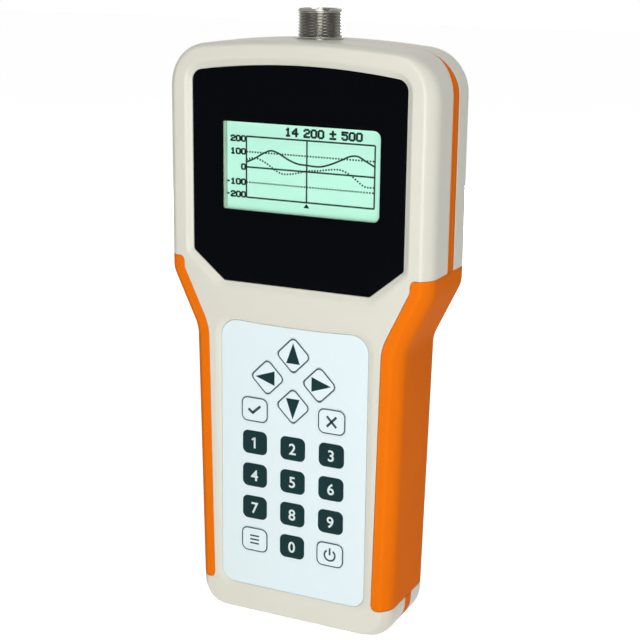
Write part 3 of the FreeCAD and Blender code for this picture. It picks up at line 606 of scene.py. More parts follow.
# front shell: an outer band, the head's face down to the panel's seat, the window's well, the
# handle's face and the keypad's pocket; head and handle meet on a straight cross line
front_band, keep, front_lips = shell_band(front_skin, 1.0)
rim = front_band[:half_count + 1, 0][:, [0, 2]]
share = np.linspace(0, 1, 29)[:, None]
cross = rim[split_row] * np.linspace(1, 0, 29)[:, None] + [[0, 1]] * share * rim[split_row, 1]
head_rim = closed_loop(ring_loop(np.vstack([rim[:split_row + 1], cross[1:]])))
handle_rim = closed_loop(ring_loop(np.vstack([cross[:0:-1], rim[split_row:]])))
roll = 0.25
# rows gather at the rim and at the seat, as a half turn's cosine does
spread = 1 - np.cos(np.linspace(0, math.pi, 15))
seat_edge = panel_seat + np.hstack([panel_seat[:, 2:] * roll, np.zeros((len(panel_seat), 2))])
head_face = face_sheet(head_rim, seat_edge, spread / 2)
seat_top = head_face[:, -1, 1] + middle
panel_pocket = carry(panel_seat, [(roll, seat_top), (roll * 0.3, seat_top + roll * 0.3),
                                  (0, seat_top + roll), (0, panel_floor_depth)])
window = rounded_box(x=1.2, z=174.6, width=61.8, height=31.8, radius=2.6,
                     counts=[31, 14, 40, 19, 28], left_radius=0.7)
window_floor = laid(between(panel_seat, window, [0, 0.5, 1]), panel_floor_depth)
window_well = carry(window, [(0, panel_floor_depth), (0, window_depth)])
handle_face = face_sheet(handle_rim, keypad_seat, 1 - np.linspace(1, 0, 21) ** 1.6)
keypad_top = handle_face[:, -1, 1] + middle
keypad_pocket = carry(keypad_seat, [(0, keypad_top), (0, keypad_floor_depth)])
keypad_floor = gathered(keypad_seat, keypad_floor_depth, x=0, z=66)
front_faces = (head_face, panel_pocket, window_floor, window_well, handle_face, keypad_pocket,
               keypad_floor)
front_sheets = [sheet(front_band, True, keep), *front_lips]
front_sheets += [sheet(face, True) for face in front_faces]
front_shell = make_piece("front_shell_moulding", front_sheets, shell_plastic,
                         wall=skin_wall)
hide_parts("front_shell")

# rear shell: an outer band, and a flat back with six counterbores for the case's screws and the
# opening of the battery bay, which has a ledge round it for the door
port_front, port_back = 18.2, 30.5
bore_radius, bore_floor = 2.6, 26.0
bay_z, ledge_depth = 47.45, 37.9
bay_counts = [20, 8, 30, 8, 20]
back_band, keep, back_lips = shell_band(back_skin, -1.0)
columns_depth = back_band[..., 1] + middle
keep &= ~(port_rows & (columns_depth[:, :-1] < port_back) & (back_band[:, :-1, 2] < 2))
back_rim = ring_loop(back_band[:, 0][:, [0, 2]])
bores = [circle(side * x, z, bore_radius)
         for side in (-1, 1) for x, z in ((42.5, 204), (42.5, 145), (29.5, 11))]
door_opening = rounded_box(0, bay_z, width=53.4, height=66.3, radius=3.2, counts=bay_counts)
bay_opening = rounded_box(0, bay_z, width=46.0, height=54.9, radius=0.3, counts=bay_counts)
back_sheets = [sheet(back_band[:, ::-1], True, keep[:, ::-1]), *back_lips,
               flat_fill([back_rim, door_opening, *bores], case_depth),
               sheet(carry(door_opening, [(0, case_depth), (0, ledge_depth)]), True),
               sheet(laid(between(door_opening, bay_opening, [0, 1]), ledge_depth), True)]
for bore in bores:
    centre = bore[:, :2].mean(0)
    back_sheets += [sheet(carry(bore, [(0, case_depth), (-0.02, 39.0), (0, bore_floor)]), True),
                    sheet(gathered(bore, bore_floor, *centre), True)]
rear_shell = make_piece("rear_shell_moulding", back_sheets, shell_plastic,
                        wall=skin_wall)
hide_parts("rear_shell")


# ------------------------------------------------------------------------------------------------
# Seal. A band of orange silicone rubber runs between the two shells and closes the joint. It shows
# over the head and at the foot, with a fine moulding line round its middle.
# ------------------------------------------------------------------------------------------------
def soft_rubber(name, code, darker):
    """Silicone rubber: matt and deep in colour, with a velvety grain of 0.4 mm."""
    return moulded(name, code, darker, roughness=0.65, grain_mm=0.4, height_mm=0.006,
                   patch_mm=40.0, **{"Specular IOR Level": 0.06})


grip_rubber = soft_rubber("silicone_grip", "fc7c0a", "f37607")
seal_rubber = soft_rubber("silicone_seal", "f67a10", "ea730c")

# half the band's section, as inset and distance from its middle, with the moulding line last
half_section = [(seam_lip, 2.85), (0.2, 2.85), (0.05, 2.8), (0, 2.65), (0, 1.7), (0, 0.9),
                (0, 0.35), (0.22, 0.12)]
section = [(inset, middle - away) for inset, away in half_section] + \
          [(inset, middle + away) for inset, away in half_section[::-1]]
seal_inset, seal_depth = np.array(section).T
# the band is thin where the shells meet over it along the crown
seal_share = eased(loop_way, seal_marks, [0.02, 0.02, 1.0, 1.0])[:, None]
seal_depth = middle + (seal_depth - middle) * seal_share
seal_grid = skin_grid(np.repeat(loop_way[:, None], len(section), 1), seal_inset[None], seal_depth)
seal_columns = seal_grid[..., 1] + middle
keep = ~np.repeat(grip_rows, len(section) - 1, 1)
keep &= ~(port_rows & (seal_columns[:, :-1] > port_front) & (seal_grid[:, :-1, 2] < 2))
keep = opened(seal_grid, keep, socket_hole)
seal = make_piece("seal_band", [sheet(seal_grid, True, keep)], seal_rubber, wall=1.0)
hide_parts("case_seal")


# ------------------------------------------------------------------------------------------------
# Grips. A soft skin of the same rubber is let into each edge of the handle, flush with the case,
# and wraps from the front face round the side to the back.
# ------------------------------------------------------------------------------------------------
def pulled_in(grid, amount):
    """A grid whose four borders are drawn back along the surface by the amount."""
    grid = grid.copy()
    for border, inner in ((0, 1), (-1, -2)):
        run = grid[inner] - grid[border]
        grid[border] += amount * run / np.linalg.norm(run, axis=-1, keepdims=True)
        run = grid[:, inner] - grid[:, border]
        grid[:, border] += amount * run / np.linalg.norm(run, axis=-1, keepdims=True)
    return grid


def rolled_edges(grid, steps):
    """A grid with its borders carried on: at each step they lie out along the surface by its
    first figure and down along the normal by its second."""
    rows, columns = grid.shape[:2]
    count = len(steps)
    row = np.arange(-count, rows + count)
    column = np.arange(-count, columns + count)
    reach = np.array([(0.0, 0.0)] + steps)
    normal = outward(grid, False)
    along_rows, along_columns = [run / np.linalg.norm(run, axis=-1, keepdims=True)
                                 for run in np.gradient(grid, axis=(0, 1))]
    inner_row, inner_column = np.clip(row, 0, rows - 1), np.clip(column, 0, columns - 1)
    past_row, past_column = row - inner_row, column - inner_column
    pick = np.ix_(inner_row, inner_column)
    out_row = (np.sign(past_row) * reach[np.abs(past_row), 0])[:, None, None]
    out_column = (np.sign(past_column) * reach[np.abs(past_column), 0])[None, :, None]
    down = np.maximum(reach[np.abs(past_row), 1][:, None], reach[np.abs(past_column), 1][None])
    return grid[pick] + along_rows[pick] * out_row + along_columns[pick] * out_column \
        - normal[pick] * down[..., None]


# the grip follows the front skin, the side between the two seams and the back skin
side_depths = np.linspace(seal_front - seal_play, seal_back + seal_play, 8)[1:-1]
joints = (loop_way[:, None], 0.0, side_depths)
grip_parts = []
for front, joint, back in zip(front_skin, joints, back_skin):
    joint = np.broadcast_to(joint, (len(loop_way), len(side_depths)))
    grip_parts.append(np.hstack([front[:, lap_column:], joint, back[:, ::-1][:, :-lap_column]]))
grip_skin = skin_grid(*grip_parts)[grip_first:grip_last + 1]
grip_gap = 0.28
edge_steps = [(0.1, 0.06), (0.16, 0.2), (0.16, 1.2)]
right_grid = rolled_edges(pulled_in(grip_skin, grip_gap), edge_steps)
left_grid = right_grid[::-1] * [-1, 1, 1]
for side, grid in (("right", right_grid), ("left", left_grid)):
    grip = make_piece("grip_%s_skin" % side, [sheet(grid)], grip_rubber, wall=0.9)
    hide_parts("grip_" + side)


# ------------------------------------------------------------------------------------------------
# Display panel. A sheet of acrylic printed black behind sits in the dish, with a clear lens behind
# its window. The display module lies some way behind it, in a white frame.
# ------------------------------------------------------------------------------------------------
panel_half, panel_foot_half, panel_foot = 41.65, 29.0, 132.3
panel_side = [(panel_half, 142.7, 1.5), (panel_foot_half, panel_foot, 1.5), (0, panel_foot, 0)]
panel_crown = crown_path(panel_half, top=211.0, crown=266.0, corner=4.0, side=panel_side)
panel_loop = stepped_loop(panel_crown, panel_counts)
panel_round, panel_back_depth = 0.22, 2.6
edge_arc = [(-panel_round * (1 - math.cos(turn)), dish_depth + panel_round * (1 - math.sin(turn)))
            for turn in np.linspace(0, math.pi / 2, 5)]
outer_edge = carry(panel_loop, [(0, panel_back_depth)] + edge_arc)
inner_edge = carry(window, [(0.1, dish_depth), (0.03, 1.63), (0, 1.7), (0, panel_back_depth)])
face_rings = between(outer_edge[:, -1][:, [0, 2]], inner_edge[:, 0][:, [0, 2]],
                     [0, 0.1, 0.5, 0.9, 1])
panel_face = laid(face_rings, dish_depth)
panel_back = np.stack([inner_edge[:, -1], outer_edge[:, 0]], 1)

# acrylic, printed black on its back: deep, even and smooth; index 1.49, kept to a faint gloss
panel_print = moulded("printed_acrylic", "030509", "05070a", roughness=0.22, grain_mm=2.0,
                      height_mm=0.0005, patch_mm=60.0, **{"Specular IOR Level": 0.02})
panel_sheets = [sheet(face, True) for face in (outer_edge, panel_face, inner_edge, panel_back)]
panel = make_piece("display_panel_plate", panel_sheets, panel_print, sharp=50)
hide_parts("display_panel")

# clear acrylic: what passes through it keeps its colour, and it reflects more the flatter the
# view, as the fifth power of the turn away; 60 waves a metre, about 17 mm each, vary its gloss
lens_clear = bpy.data.materials.new("clear_acrylic")
lens_clear.use_nodes = True
tree = lens_clear.node_tree
tree.nodes.remove(tree.nodes["Principled BSDF"])
place = add(tree, "ShaderNodeTexCoord").outputs["Object"]
film = add(tree, "ShaderNodeTexNoise", {"Scale": 60.0, "Detail": 2.0}, {"Vector": place})
rough = add(tree, "ShaderNodeMapRange", {3: 0.03, 4: 0.07}, {0: film.outputs[0]})
facing = add(tree, "ShaderNodeLayerWeight", {"Blend": 0.5})
share = add(tree, "ShaderNodeMath", {"operation": "POWER", 1: 5.0}, {0: facing.outputs["Facing"]})
clear = add(tree, "ShaderNodeBsdfTransparent", {"Color": linear("f6fbf9")})
gloss = add(tree, "ShaderNodeBsdfGlossy", {}, {"Roughness": rough.outputs[0]})
both = add(tree, "ShaderNodeMixShader", {},
           {0: share.outputs[0], 1: clear.outputs[0], 2: gloss.outputs[0]})
tree.links.new(both.outputs[0], tree.nodes["Material Output"].inputs["Surface"])
dress(["display_lens"], lens_clear)

# liquid crystal cell: flat pale green, with a painted glow from its emission that brightens it
# where its deep well shades it
lcd_cell_painted_glow = moulded("liquid_crystal_cell_painted_glow", "c6ecde", "bfe6d7", roughness=0.3, grain_mm=0.45,
                   height_mm=0.001, patch_mm=50.0,
                   **{"Emission Color": linear("c2f0de"), "Emission Strength": 0.36})
dress(["lcd_glass"], lcd_cell_painted_glow)
# white polycarbonate frame and light guide, and the board under them in green solder mask
white_frame = moulded("white_polycarbonate", "e6e9e6", "dde0dc", roughness=0.4, grain_mm=0.7,
                      height_mm=0.004)
dress(["lcd_bezel"], white_frame)
light_guide = moulded("light_guide_acrylic", "eef4f2", "e4ecea", roughness=0.2, grain_mm=1.2,
                      height_mm=0.002)
dress(["lcd_backlight"], light_guide)
circuit_board = moulded("solder_mask_on_glass_epoxy", "14603a", "0f5230", roughness=0.35,
                        grain_mm=0.9, height_mm=0.01, patch_mm=12.0)
dress(["lcd_board", "main_board"], circuit_board)


# ------------------------------------------------------------------------------------------------
# Display picture. The liquid crystal draws a chart with two curves, a cursor and plain numbers in
# dark pixels just in front of the cell. Each stroke is a thin flat bar.
# ------------------------------------------------------------------------------------------------
def bars(strokes, width, front, back):
    """Flat bars along strokes given as x0, z0, x1, z1: each is a box as long as its stroke and half
    a width either side of it."""
    strokes = np.asarray(strokes, dtype=float)
    start, end = strokes[:, :2], strokes[:, 2:]
    way = (end - start) / np.maximum(np.linalg.norm(end - start, axis=1, keepdims=True), 1e-9)
    across = np.stack([way[:, 1], -way[:, 0]], 1) * width / 2
    flat = np.stack([start - across, end - across, end + across, start + across], 1)
    verts = np.concatenate([laid(flat, depth) for depth in (front, back)], 1)
    box = np.array([[0, 3, 2, 1], [4, 5, 6, 7], [0, 1, 5, 4],
                    [1, 2, 6, 5], [2, 3, 7, 6], [3, 0, 4, 7]])
    faces = (np.arange(len(strokes))[:, None, None] * 8 + box).reshape(-1, 4)
    return verts.reshape(-1, 3), faces


def chain(points):
    """Strokes from each point to the next."""
    points = np.asarray(points, dtype=float)
    return np.hstack([points[:-1], points[1:]])


def dotted(points, pitch, length):
    """Short strokes at an even pitch along a line of points."""
    points = np.asarray(points, dtype=float)
    way = np.append(0, np.cumsum(np.hypot(*np.diff(points, axis=0).T)))
    spots = np.arange(0, way[-1] - length, pitch)
    return np.stack([np.interp(spots + extra, way, points[:, axis])
                     for extra in (0, length) for axis in (0, 1)], 1)


def smooth_curve(shares, values):
    """Points of a chart curve: cubic pieces through the given shares of the width and values,
    with slopes from their neighbours."""
    shares, values = np.asarray(shares, float), np.asarray(values, float)
    slope = np.gradient(values, shares)
    fine = np.linspace(0, 1, 113)
    spot = np.clip(np.searchsorted(shares, fine) - 1, 0, len(shares) - 2)
    gap = np.diff(shares)[spot]
    t = (fine - shares[spot]) / gap
    value = (2 * t ** 3 - 3 * t ** 2 + 1) * values[spot] \
        + (t ** 3 - 2 * t ** 2 + t) * gap * slope[spot] \
        + (3 * t ** 2 - 2 * t ** 3) * values[spot + 1] + (t ** 3 - t ** 2) * gap * slope[spot + 1]
    across = chart_left + fine * (chart_right - chart_left)
    return np.stack([across, chart_zero + value * chart_scale], 1)


dots = {"0": "01110 10001 10001 10001 10001 10001 01110",
        "1": "00100 01100 00100 00100 00100 00100 01110",
        "2": "01110 10001 00001 00110 01000 10000 11111",
        "4": "00010 00110 01010 10010 11111 00010 00010",
        "5": "11111 10000 11110 00001 00001 10001 01110",
        "±": "00100 00100 11111 00100 00100 00000 11111",
        "-": "00000 00000 00000 01110 00000 00000 00000",
        " ": "00000 00000 00000 00000 00000 00000 00000"}


def dot_text(text, right, top, wide, tall, thick):
    """Characters of five by seven dots, set to end at the right: a stroke for each dot, which the
    figure for thickness makes larger than the dot's own place."""
    strokes = []
    for character in reversed(text):
        right -= (4 if character == " " else 6) * wide
        for row, line in enumerate(dots[character].split()):
            for column, mark in enumerate(line):
                if mark == "1":
                    x, z = right + (column + 1) * wide, top - (row + 0.5) * tall
                    strokes.append((x - thick / 2 * wide, z, x + thick / 2 * wide, z))
    return bars(strokes, tall * thick, mark_front, mark_back)


print_height = 0.012


def lettering(name, text, size, x, z, depth, bold):
    """Plain characters as a thin solid: text turned into a mesh, its height set by the size."""
    curve = bpy.data.curves.new(name, "FONT")
    curve.body = text
    curve.size = size
    curve.align_x = "CENTER"
    curve.extrude = print_height
    curve.offset = bold
    curve.resolution_u = 6
    verts, faces = mesh_of(curve)
    return np.stack([x + verts[:, 0], depth - middle - verts[:, 2], z + verts[:, 1]], 1), faces


chart_left, chart_right, chart_bottom, chart_top = -22.1, 28.3, 162.85, 184.9
chart_zero = (chart_bottom + chart_top) / 2
chart_top_level = 200
chart_scale = (chart_top - chart_bottom) / (2 * chart_top_level)
mark_front, mark_back = 5.93, 5.98
line_width, curve_width, pointer_width = 0.6, 0.62, 0.14
dot_pitch, dot_length = 1.1, 0.6
cursor = chart_left + 0.48 * (chart_right - chart_left)
frame_lines = [(chart_left, chart_top, chart_right, chart_top),
               (chart_left, chart_bottom, chart_right, chart_bottom),
               (chart_left, chart_bottom, chart_left, chart_top),
               (chart_right, chart_bottom, chart_right, chart_top),
               (chart_left, chart_zero, chart_right, chart_zero),
               (cursor, chart_bottom - 0.3, cursor, chart_top)]
solid_curve = smooth_curve(
    [0, 0.06, 0.14, 0.2, 0.25, 0.34, 0.41, 0.47, 0.6, 0.67, 0.75, 0.82, 0.87, 0.93, 1],
    [32, 56, 98, 118, 107, 66, 46, 42, 42, 62, 94, 122, 124, 98, 66])
dotted_curve = smooth_curve(
    [0, 0.07, 0.12, 0.18, 0.23, 0.29, 0.35, 0.43, 0.47, 0.58, 0.67, 0.75, 0.81, 0.87, 0.92, 1],
    [48, 63, 51, 23, -7, -27, -24, -8, 2, 14, 27, 28, 5, -32, -62, -66])
grid_lines = [dotted([(chart_left, chart_zero + level), (chart_right, chart_zero + level)],
                     dot_pitch, dot_length) for level in (100 * chart_scale, -100 * chart_scale)]
pointer = [(cursor - 1.1 + step * 0.12, chart_bottom - 2.0, cursor, chart_bottom - 0.6)
           for step in range(19)]
picture = [bars(frame_lines, line_width, mark_front, mark_back),
           bars(chain(solid_curve), curve_width, mark_front - 0.01, mark_back),
           bars(dotted(dotted_curve, dot_pitch, dot_length), curve_width, mark_front, mark_back),
           bars(np.vstack(grid_lines), line_width, mark_front, mark_back),
           bars(pointer, pointer_width, mark_front, mark_back)]
for level in (200, 100, 0, -100, -200):
    # the outermost numbers are drawn in towards the chart
    lift = 1.05 - 0.9 * level / chart_top_level if abs(level) == chart_top_level else 1.05
    text_top = chart_zero + level * chart_scale + lift
    picture.append(dot_text(str(level), chart_left - 0.1, text_top, wide=0.36, tall=0.3, thick=1.9))
picture.append(dot_text("14 200 ± 500", right=23.6, top=188.9, wide=0.46, tall=0.42, thick=1.75))
# dark pixels of the liquid crystal: matt teal with a slight pixel grain of 0.45 mm
lcd_pixels = moulded("liquid_crystal_pixels", "0a2c26", "0f362f", roughness=0.5, grain_mm=0.45,
                     height_mm=0.001)
make_piece("display_picture", picture, lcd_pixels, sharp=30)


# ------------------------------------------------------------------------------------------------
# Keypad. A cool white polyester film is let into the handle; eighteen embossed keys stand through
# it on snap domes. Ten are printed dark with a plain number, eight have only a printed outline.
# ------------------------------------------------------------------------------------------------
def printed_film(name, code, darker):
    """Polyester film printed on its back: smooth, with a fine matt texture of 0.3 mm and an even
    satin gloss."""
    return moulded(name, code, darker, roughness=0.4, grain_mm=0.3, height_mm=0.0015,
                   patch_mm=50.0, **{"Specular IOR Level": 0.08})


keypad_film = printed_film("polyester_keypad_film", "effdff", "e9f8fc")
key_dark = printed_film("polyester_key_dark", "163638", "143133")
ink_dark = printed_film("ink_dark_grey", "41565c", "3b5056")
ink_teal = printed_film("ink_dark_teal", "17383a", "143335")
ink_pale = printed_film("ink_pale", "e4f2f2", "dceceb")
key_pale = printed_film("polyester_key_pale", "effdff", "e9f8fc")
dress(["keypad_overlay"], keypad_film)

column_pitch, row_pitch, last_row = 15.75, 12.94, 32.8
arrow_z, arrow_rise, arrow_reach, arrow_span = 97.66, 9.67, 10.53, 13.0
key_counts = [4, 6, 8, 6, 4]
key_front, key_back, flange_front, flange_reach = 0.4, 1.8, 1.25, 0.6
key_round, key_dome, film_front = 0.18, 0.06, 0.7
arrows = ("up", "down", "left", "right")
top_row = last_row + 4 * row_pitch
key_places = {"up": (0, arrow_z + arrow_rise), "down": (0, arrow_z - arrow_rise),
              "left": (-arrow_reach, arrow_z), "right": (arrow_reach, arrow_z),
              "enter": (-column_pitch, top_row), "cancel": (column_pitch, top_row),
              "0": (0, last_row), "function": (-column_pitch, last_row),
              "power": (column_pitch, last_row)}
for number in range(1, 10):
    row, column = divmod(number - 1, 3)
    key_places[str(number)] = ((column - 1) * column_pitch, last_row + (3 - row) * row_pitch)


def key_loop(name, x, z):
    """The outline of a key: a rounded rectangle, or for an arrow one standing on its corner."""
    if name in arrows:
        side = arrow_span / math.sqrt(2)
        loop = rounded_box(0, 0, side, side, radius=1.6, counts=key_counts)
        turn = np.array([[1, 1], [-1, 1]]) / math.sqrt(2)
        return np.hstack([loop[:, :2] @ turn + [x, z], loop[:, 2:] @ turn])
    if name.isdigit():
        return rounded_box(x, z, width=9.7, height=8.6, radius=2.0, counts=key_counts)
    return rounded_box(x, z, width=10.9, height=9.5, radius=2.5, counts=key_counts)


def key_cap(loop, x, z):
    """An embossed key: its top falls from the middle with the square of the distance, its edge is
    a quarter turn, and its sides run straight down to a flange that keeps it under the film. Both
    faces are closed in the middle."""
    edge_front = key_front + key_dome
    edge = [(-key_round * (1 - math.cos(turn)), edge_front + key_round * (1 - math.sin(turn)))
            for turn in np.linspace(0, math.pi / 2, 6)]
    flange = [(flange_reach, key_back), (flange_reach, flange_front), (0, flange_front)]
    side = carry(loop, flange + edge)
    shares = np.array([0.05, 0.12, 0.3, 0.6, 1])
    rings = between(side[:, -1][:, [0, 2]], np.broadcast_to([x, z], (len(loop), 2)), shares)
    top = laid(rings, key_front + key_dome * (1 - shares) ** 2)
    back = np.broadcast_to([x, key_back - middle, z], (len(loop), 1, 3))
    return np.concatenate([back, side, top], 1)


def outline_print(loop, inner, outer, front, back):
    """A printed ring that follows a key's edge: a thin flat band between two distances from it."""
    ring = [(inner, back), (inner, front), (outer, front), (outer, back), (inner, back)]
    return sheet(carry(loop, ring), True)


def icon(name, x, z):
    """The print on a key, in front of its face: a number, an arrowhead or a plain sign."""
    front, back = key_front - print_height, key_front + 0.05
    if name.isdigit():
        number = [lettering("number_" + name, name, 6.0, x, z - 2.15, key_front, 0.1)]
        if name == "1":
            number.append(bars([(x - 1.1, z + 0.95, x - 0.1, z + 1.85)], 0.65, front, back))
        return number
    if name in arrows:
        tip_x, tip_z = np.array([(0, 4.8), (2.75, -3.0), (-2.75, -3.0)]).T
        way_x, way_z = {"up": (0, 1), "down": (0, -1), "left": (-1, 0), "right": (1, 0)}[name]
        flat = np.stack([x + tip_x * way_z + tip_z * way_x, z + tip_z * way_z - tip_x * way_x], 1)
        verts = laid(np.stack([flat, flat]), np.array([[front], [back]])).reshape(-1, 3)
        return [(verts, [[0, 1, 2], [5, 4, 3], [0, 3, 4, 1], [1, 4, 5, 2], [2, 5, 3, 0]])]
    if name == "enter":
        strokes = [(x - 2.6, z + 0.1, x - 0.6, z - 1.45), (x - 0.95, z - 1.45, x + 2.4, z + 1.55)]
        return [bars(strokes, 1.0, front, back)]
    if name == "cancel":
        strokes = [(x - 1.9, z - 2.0, x + 1.9, z + 2.0), (x - 1.9, z + 2.0, x + 1.9, z - 2.0)]
        return [bars(strokes, 0.9, front, back)]
    if name == "power":
        turn = np.radians(np.linspace(35, 325, 30))
        ring = np.stack([x + 2.15 * np.sin(turn), z - 0.25 + 2.15 * np.cos(turn)], 1)
        stem = [(x, z - 0.2, x, z + 2.6)]
        return [bars(chain(ring), 0.7, front, back), bars(stem, 0.7, front - 0.003, back)]
    strokes = [(x - 1.9, z + level, x + 1.9, z + level) for level in (-1.5, 0, 1.5)]
    return [bars(strokes, 0.62, front, back)]


# round the numbers and arrows the ring is printed on the film, on the others on the key itself
rings = {True: [], False: []}
ring_width = {True: 0.25, False: 0.45}
for name, (x, z) in key_places.items():
    body = "key_" + name
    loop = key_loop(name, x, z)
    dark = name.isdigit()
    face, slot, ink_slot = (key_dark, "key_print_dark", "key_print_pale") if dark else \
        (key_pale, "key_print_pale", "key_print_dark")
    cap = make_piece(body + "_cap", [sheet(key_cap(loop, x, z), True)], face, body, sharp=50)
    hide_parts(body)
    ink = ink_pale if dark else ink_teal if name in arrows else ink_dark
    make_piece(body + "_print", icon(name, x, z), ink, body, sharp=30)
    if dark or name in arrows:
        rings[dark].append(outline_print(loop, 0.02, ring_width[dark], film_front - 0.03,
                                         film_front + 0.02))
    else:
        edging = outline_print(loop, -0.45, -0.02, key_front + 0.02, key_front + 0.3)
        make_piece(body + "_outline", [edging], ink_dark, body, sharp=30)
make_piece("keypad_dark_rings", rings[True], key_dark, sharp=30)
make_piece("keypad_outlines", rings[False], ink_dark, sharp=30)

# under the film: clear polyester layers and stainless snap domes
polyester = moulded("polyester_layers", "d2d2c8", "c6c6bb", roughness=0.4, grain_mm=0.5,
                    height_mm=0.001)
dress(["keypad_spacer", "keypad_circuit", "keypad_tail"], polyester)


# ------------------------------------------------------------------------------------------------
# Antenna socket. A turned brass body, nickel plated, with a 24 threads per inch screw outside and
# four notches in its rim; a flange under the top wall holds it. White fluoropolymer carries the
# plated centre contact.
# ------------------------------------------------------------------------------------------------
def turned_metal(name, code, darker, roughness, groove_mm, height_mm):
    """Plated metal turned on a lathe: fine rings about the upright axis, with spots of about
    5.5 mm, 180 a metre, a little rougher than the rest."""
    material, tree, shader = finish(name, {"Metallic": 1.0})
    place = add(tree, "ShaderNodeTexCoord").outputs["Object"]
    drift = add(tree, "ShaderNodeTexNoise", {"Scale": 180.0, "Detail": 3.0}, {"Vector": place})
    tone = add(tree, "ShaderNodeMix", {"data_type": "RGBA", 6: linear(code), 7: linear(darker)},
               {0: drift.outputs[0]})
    rough = add(tree, "ShaderNodeMapRange", {3: roughness, 4: roughness + 0.12},
                {0: drift.outputs[0]})
    # the pattern is squeezed to rings about the upright axis
    squash = add(tree, "ShaderNodeMapping", {"vector_type": "POINT", "Scale": (0.02, 0.02, 1.0)},
                 {"Vector": place})
    rings = add(tree, "ShaderNodeTexNoise", {"Scale": metre / groove_mm, "Detail": 2.0},
                {"Vector": squash.outputs[0]})
    bump = add(tree, "ShaderNodeBump", {"Strength": 1.0, "Distance": height_mm * mm},
               {"Height": rings.outputs[0]})
    tree.links.new(tone.outputs[2], shader.inputs["Base Color"])
    tree.links.new(rough.outputs[0], shader.inputs["Roughness"])
    tree.links.new(bump.outputs[0], shader.inputs["Normal"])
    return material


# bright nickel plate: a warm grey mirror with sharp highlights on the thread
nickel = turned_metal("nickel_plated_brass", "9c9b95", "76756f", roughness=0.14, groove_mm=0.3,
                      height_mm=0.002)
# thin gold plate on the contact: yellow and a little softer
gold = turned_metal("gold_plated_brass", "d8b878", "c8a868", roughness=0.22, groove_mm=0.3,
                    height_mm=0.002)

thread_radius, thread_pitch, thread_deep = 7.94, 25.4 / 24, 0.6
thread_start, thread_end, socket_top = 219.9, 229.2, 230.0
collar_radius, collar_foot = 8.3, 215.6
bowl_radius, bowl_floor = 6.1, 214.0
insulator_radius, insulator_foot = 4.02, 212.6
notch_deep = 0.9
# the thread's depth follows a triangle wave that climbs one pitch a turn, and fades at both ends
angle = np.linspace(0, 2 * math.pi, 121)[:-1][:, None]
height = np.linspace(thread_start, thread_end, 89)[None]
phase = (height / thread_pitch - angle / (2 * math.pi)) % 1.0
fade = np.clip((height - thread_start) / 0.7, 0, 1) * np.clip((thread_end - height) / 0.5, 0, 1)
thread = thread_radius - thread_deep * fade * (1 - np.abs(2 * phase - 1)) ** 0.8
notch = np.clip(1.5 - 6.5 * np.abs(((angle / (math.pi / 2)) % 1.0) - 0.5) * 1.5, 0, 1)
rim_top = socket_top - notch_deep * notch
# profiles as radius and height; over the thread also the share of the notches' depth
lower = [(collar_radius, collar_foot), (collar_radius, 219.75), (8.15, 219.88)]
upper = [(7.9, 229.3, 0.0), (7.45, 229.75, 0.5), (7.3, 229.97, 1.0), (7.1, socket_top, 1.0),
         (6.3, socket_top, 1.0), (6.15, 229.9, 1.0), (bowl_radius, 229.0, 0.0),
         (bowl_radius, bowl_floor, 0.0), (insulator_radius, bowl_floor, 0.0),
         (insulator_radius, insulator_foot, 0.0)]
ones = np.ones_like(angle)
radius = np.hstack([ones * r for r, z in lower] + [thread] + [ones * r for r, z, cut in upper])
level = np.hstack([ones * z for r, z in lower] + [np.broadcast_to(height, thread.shape)]
                  + [ones * z - cut * (socket_top - rim_top) for r, z, cut in upper])
barrel = np.stack([radius * np.sin(angle), radius * -np.cos(angle), level], -1)
# flange: a square plate with rounded corners about the barrel, with a sleeve below; each of its
# loops is the plate's edge or a circle with as many points
flange_width, flange_top, flange_foot = 25.4, 215.5, 212.5
sleeve_radius, sleeve_foot = 5.5, 206.0
square = rounded_box(0, 0, flange_width, flange_width, radius=2.0, counts=[12, 6, 24, 6, 12])
way = np.arctan2(square[:, 0], square[:, 1])
inner = np.stack([np.sin(way), np.cos(way)], 1)
loops = [(inner * collar_radius, collar_foot), (inner * collar_radius, flange_top),
         (square[:, :2], flange_top), (square[:, :2], flange_foot),
         (inner * sleeve_radius, flange_foot), (inner * sleeve_radius, sleeve_foot),
         (inner * insulator_radius, sleeve_foot), (inner * insulator_radius, insulator_foot)]
flange = np.stack([np.insert(loop, 2, z, axis=1) for loop, z in loops], 1)
socket_sheets = [sheet(barrel[::-1], True), sheet(flange[::-1], True)]
socket = make_piece("antenna_socket_body", socket_sheets, nickel, sharp=42)
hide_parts("antenna_socket")
dress(["socket_contact"], gold)
# white fluoropolymer, which is waxy and a little translucent: drawn opaque, with a faint grain of
# 0.8 mm
fluoropolymer = moulded("white_fluoropolymer", "f1efe8", "e9e7df", roughness=0.35, grain_mm=0.8,
                        height_mm=0.003)
dress(["socket_insulator"], fluoropolymer)


# ------------------------------------------------------------------------------------------------
# Battery door, cells, board and fastenings. These keep the shapes they are made to: the lid over
# the cells in the back, the tray, springs and plates, the main board with its parts, and screws.
# ------------------------------------------------------------------------------------------------
def rolled_metal(name, code, darker, roughness, grain_mm):
    """Sheet or wire drawn or rolled bright: even metal with fine scratches, drawn as coarse as
    they need to be to show."""
    material, tree, shader = finish(name, {"Metallic": 1.0})
    place = add(tree, "ShaderNodeTexCoord").outputs["Object"]
    scratch = add(tree, "ShaderNodeTexNoise", {"Scale": metre / grain_mm, "Detail": 5.0},
                  {"Vector": place})
    tone = add(tree, "ShaderNodeMix", {"data_type": "RGBA", 6: linear(code), 7: linear(darker)},
               {0: scratch.outputs[0]})
    rough = add(tree, "ShaderNodeMapRange", {3: roughness, 4: roughness + 0.2},
                {0: scratch.outputs[0]})
    tree.links.new(tone.outputs[2], shader.inputs["Base Color"])
    tree.links.new(rough.outputs[0], shader.inputs["Roughness"])
    return material


dress(["battery_door"], shell_plastic)
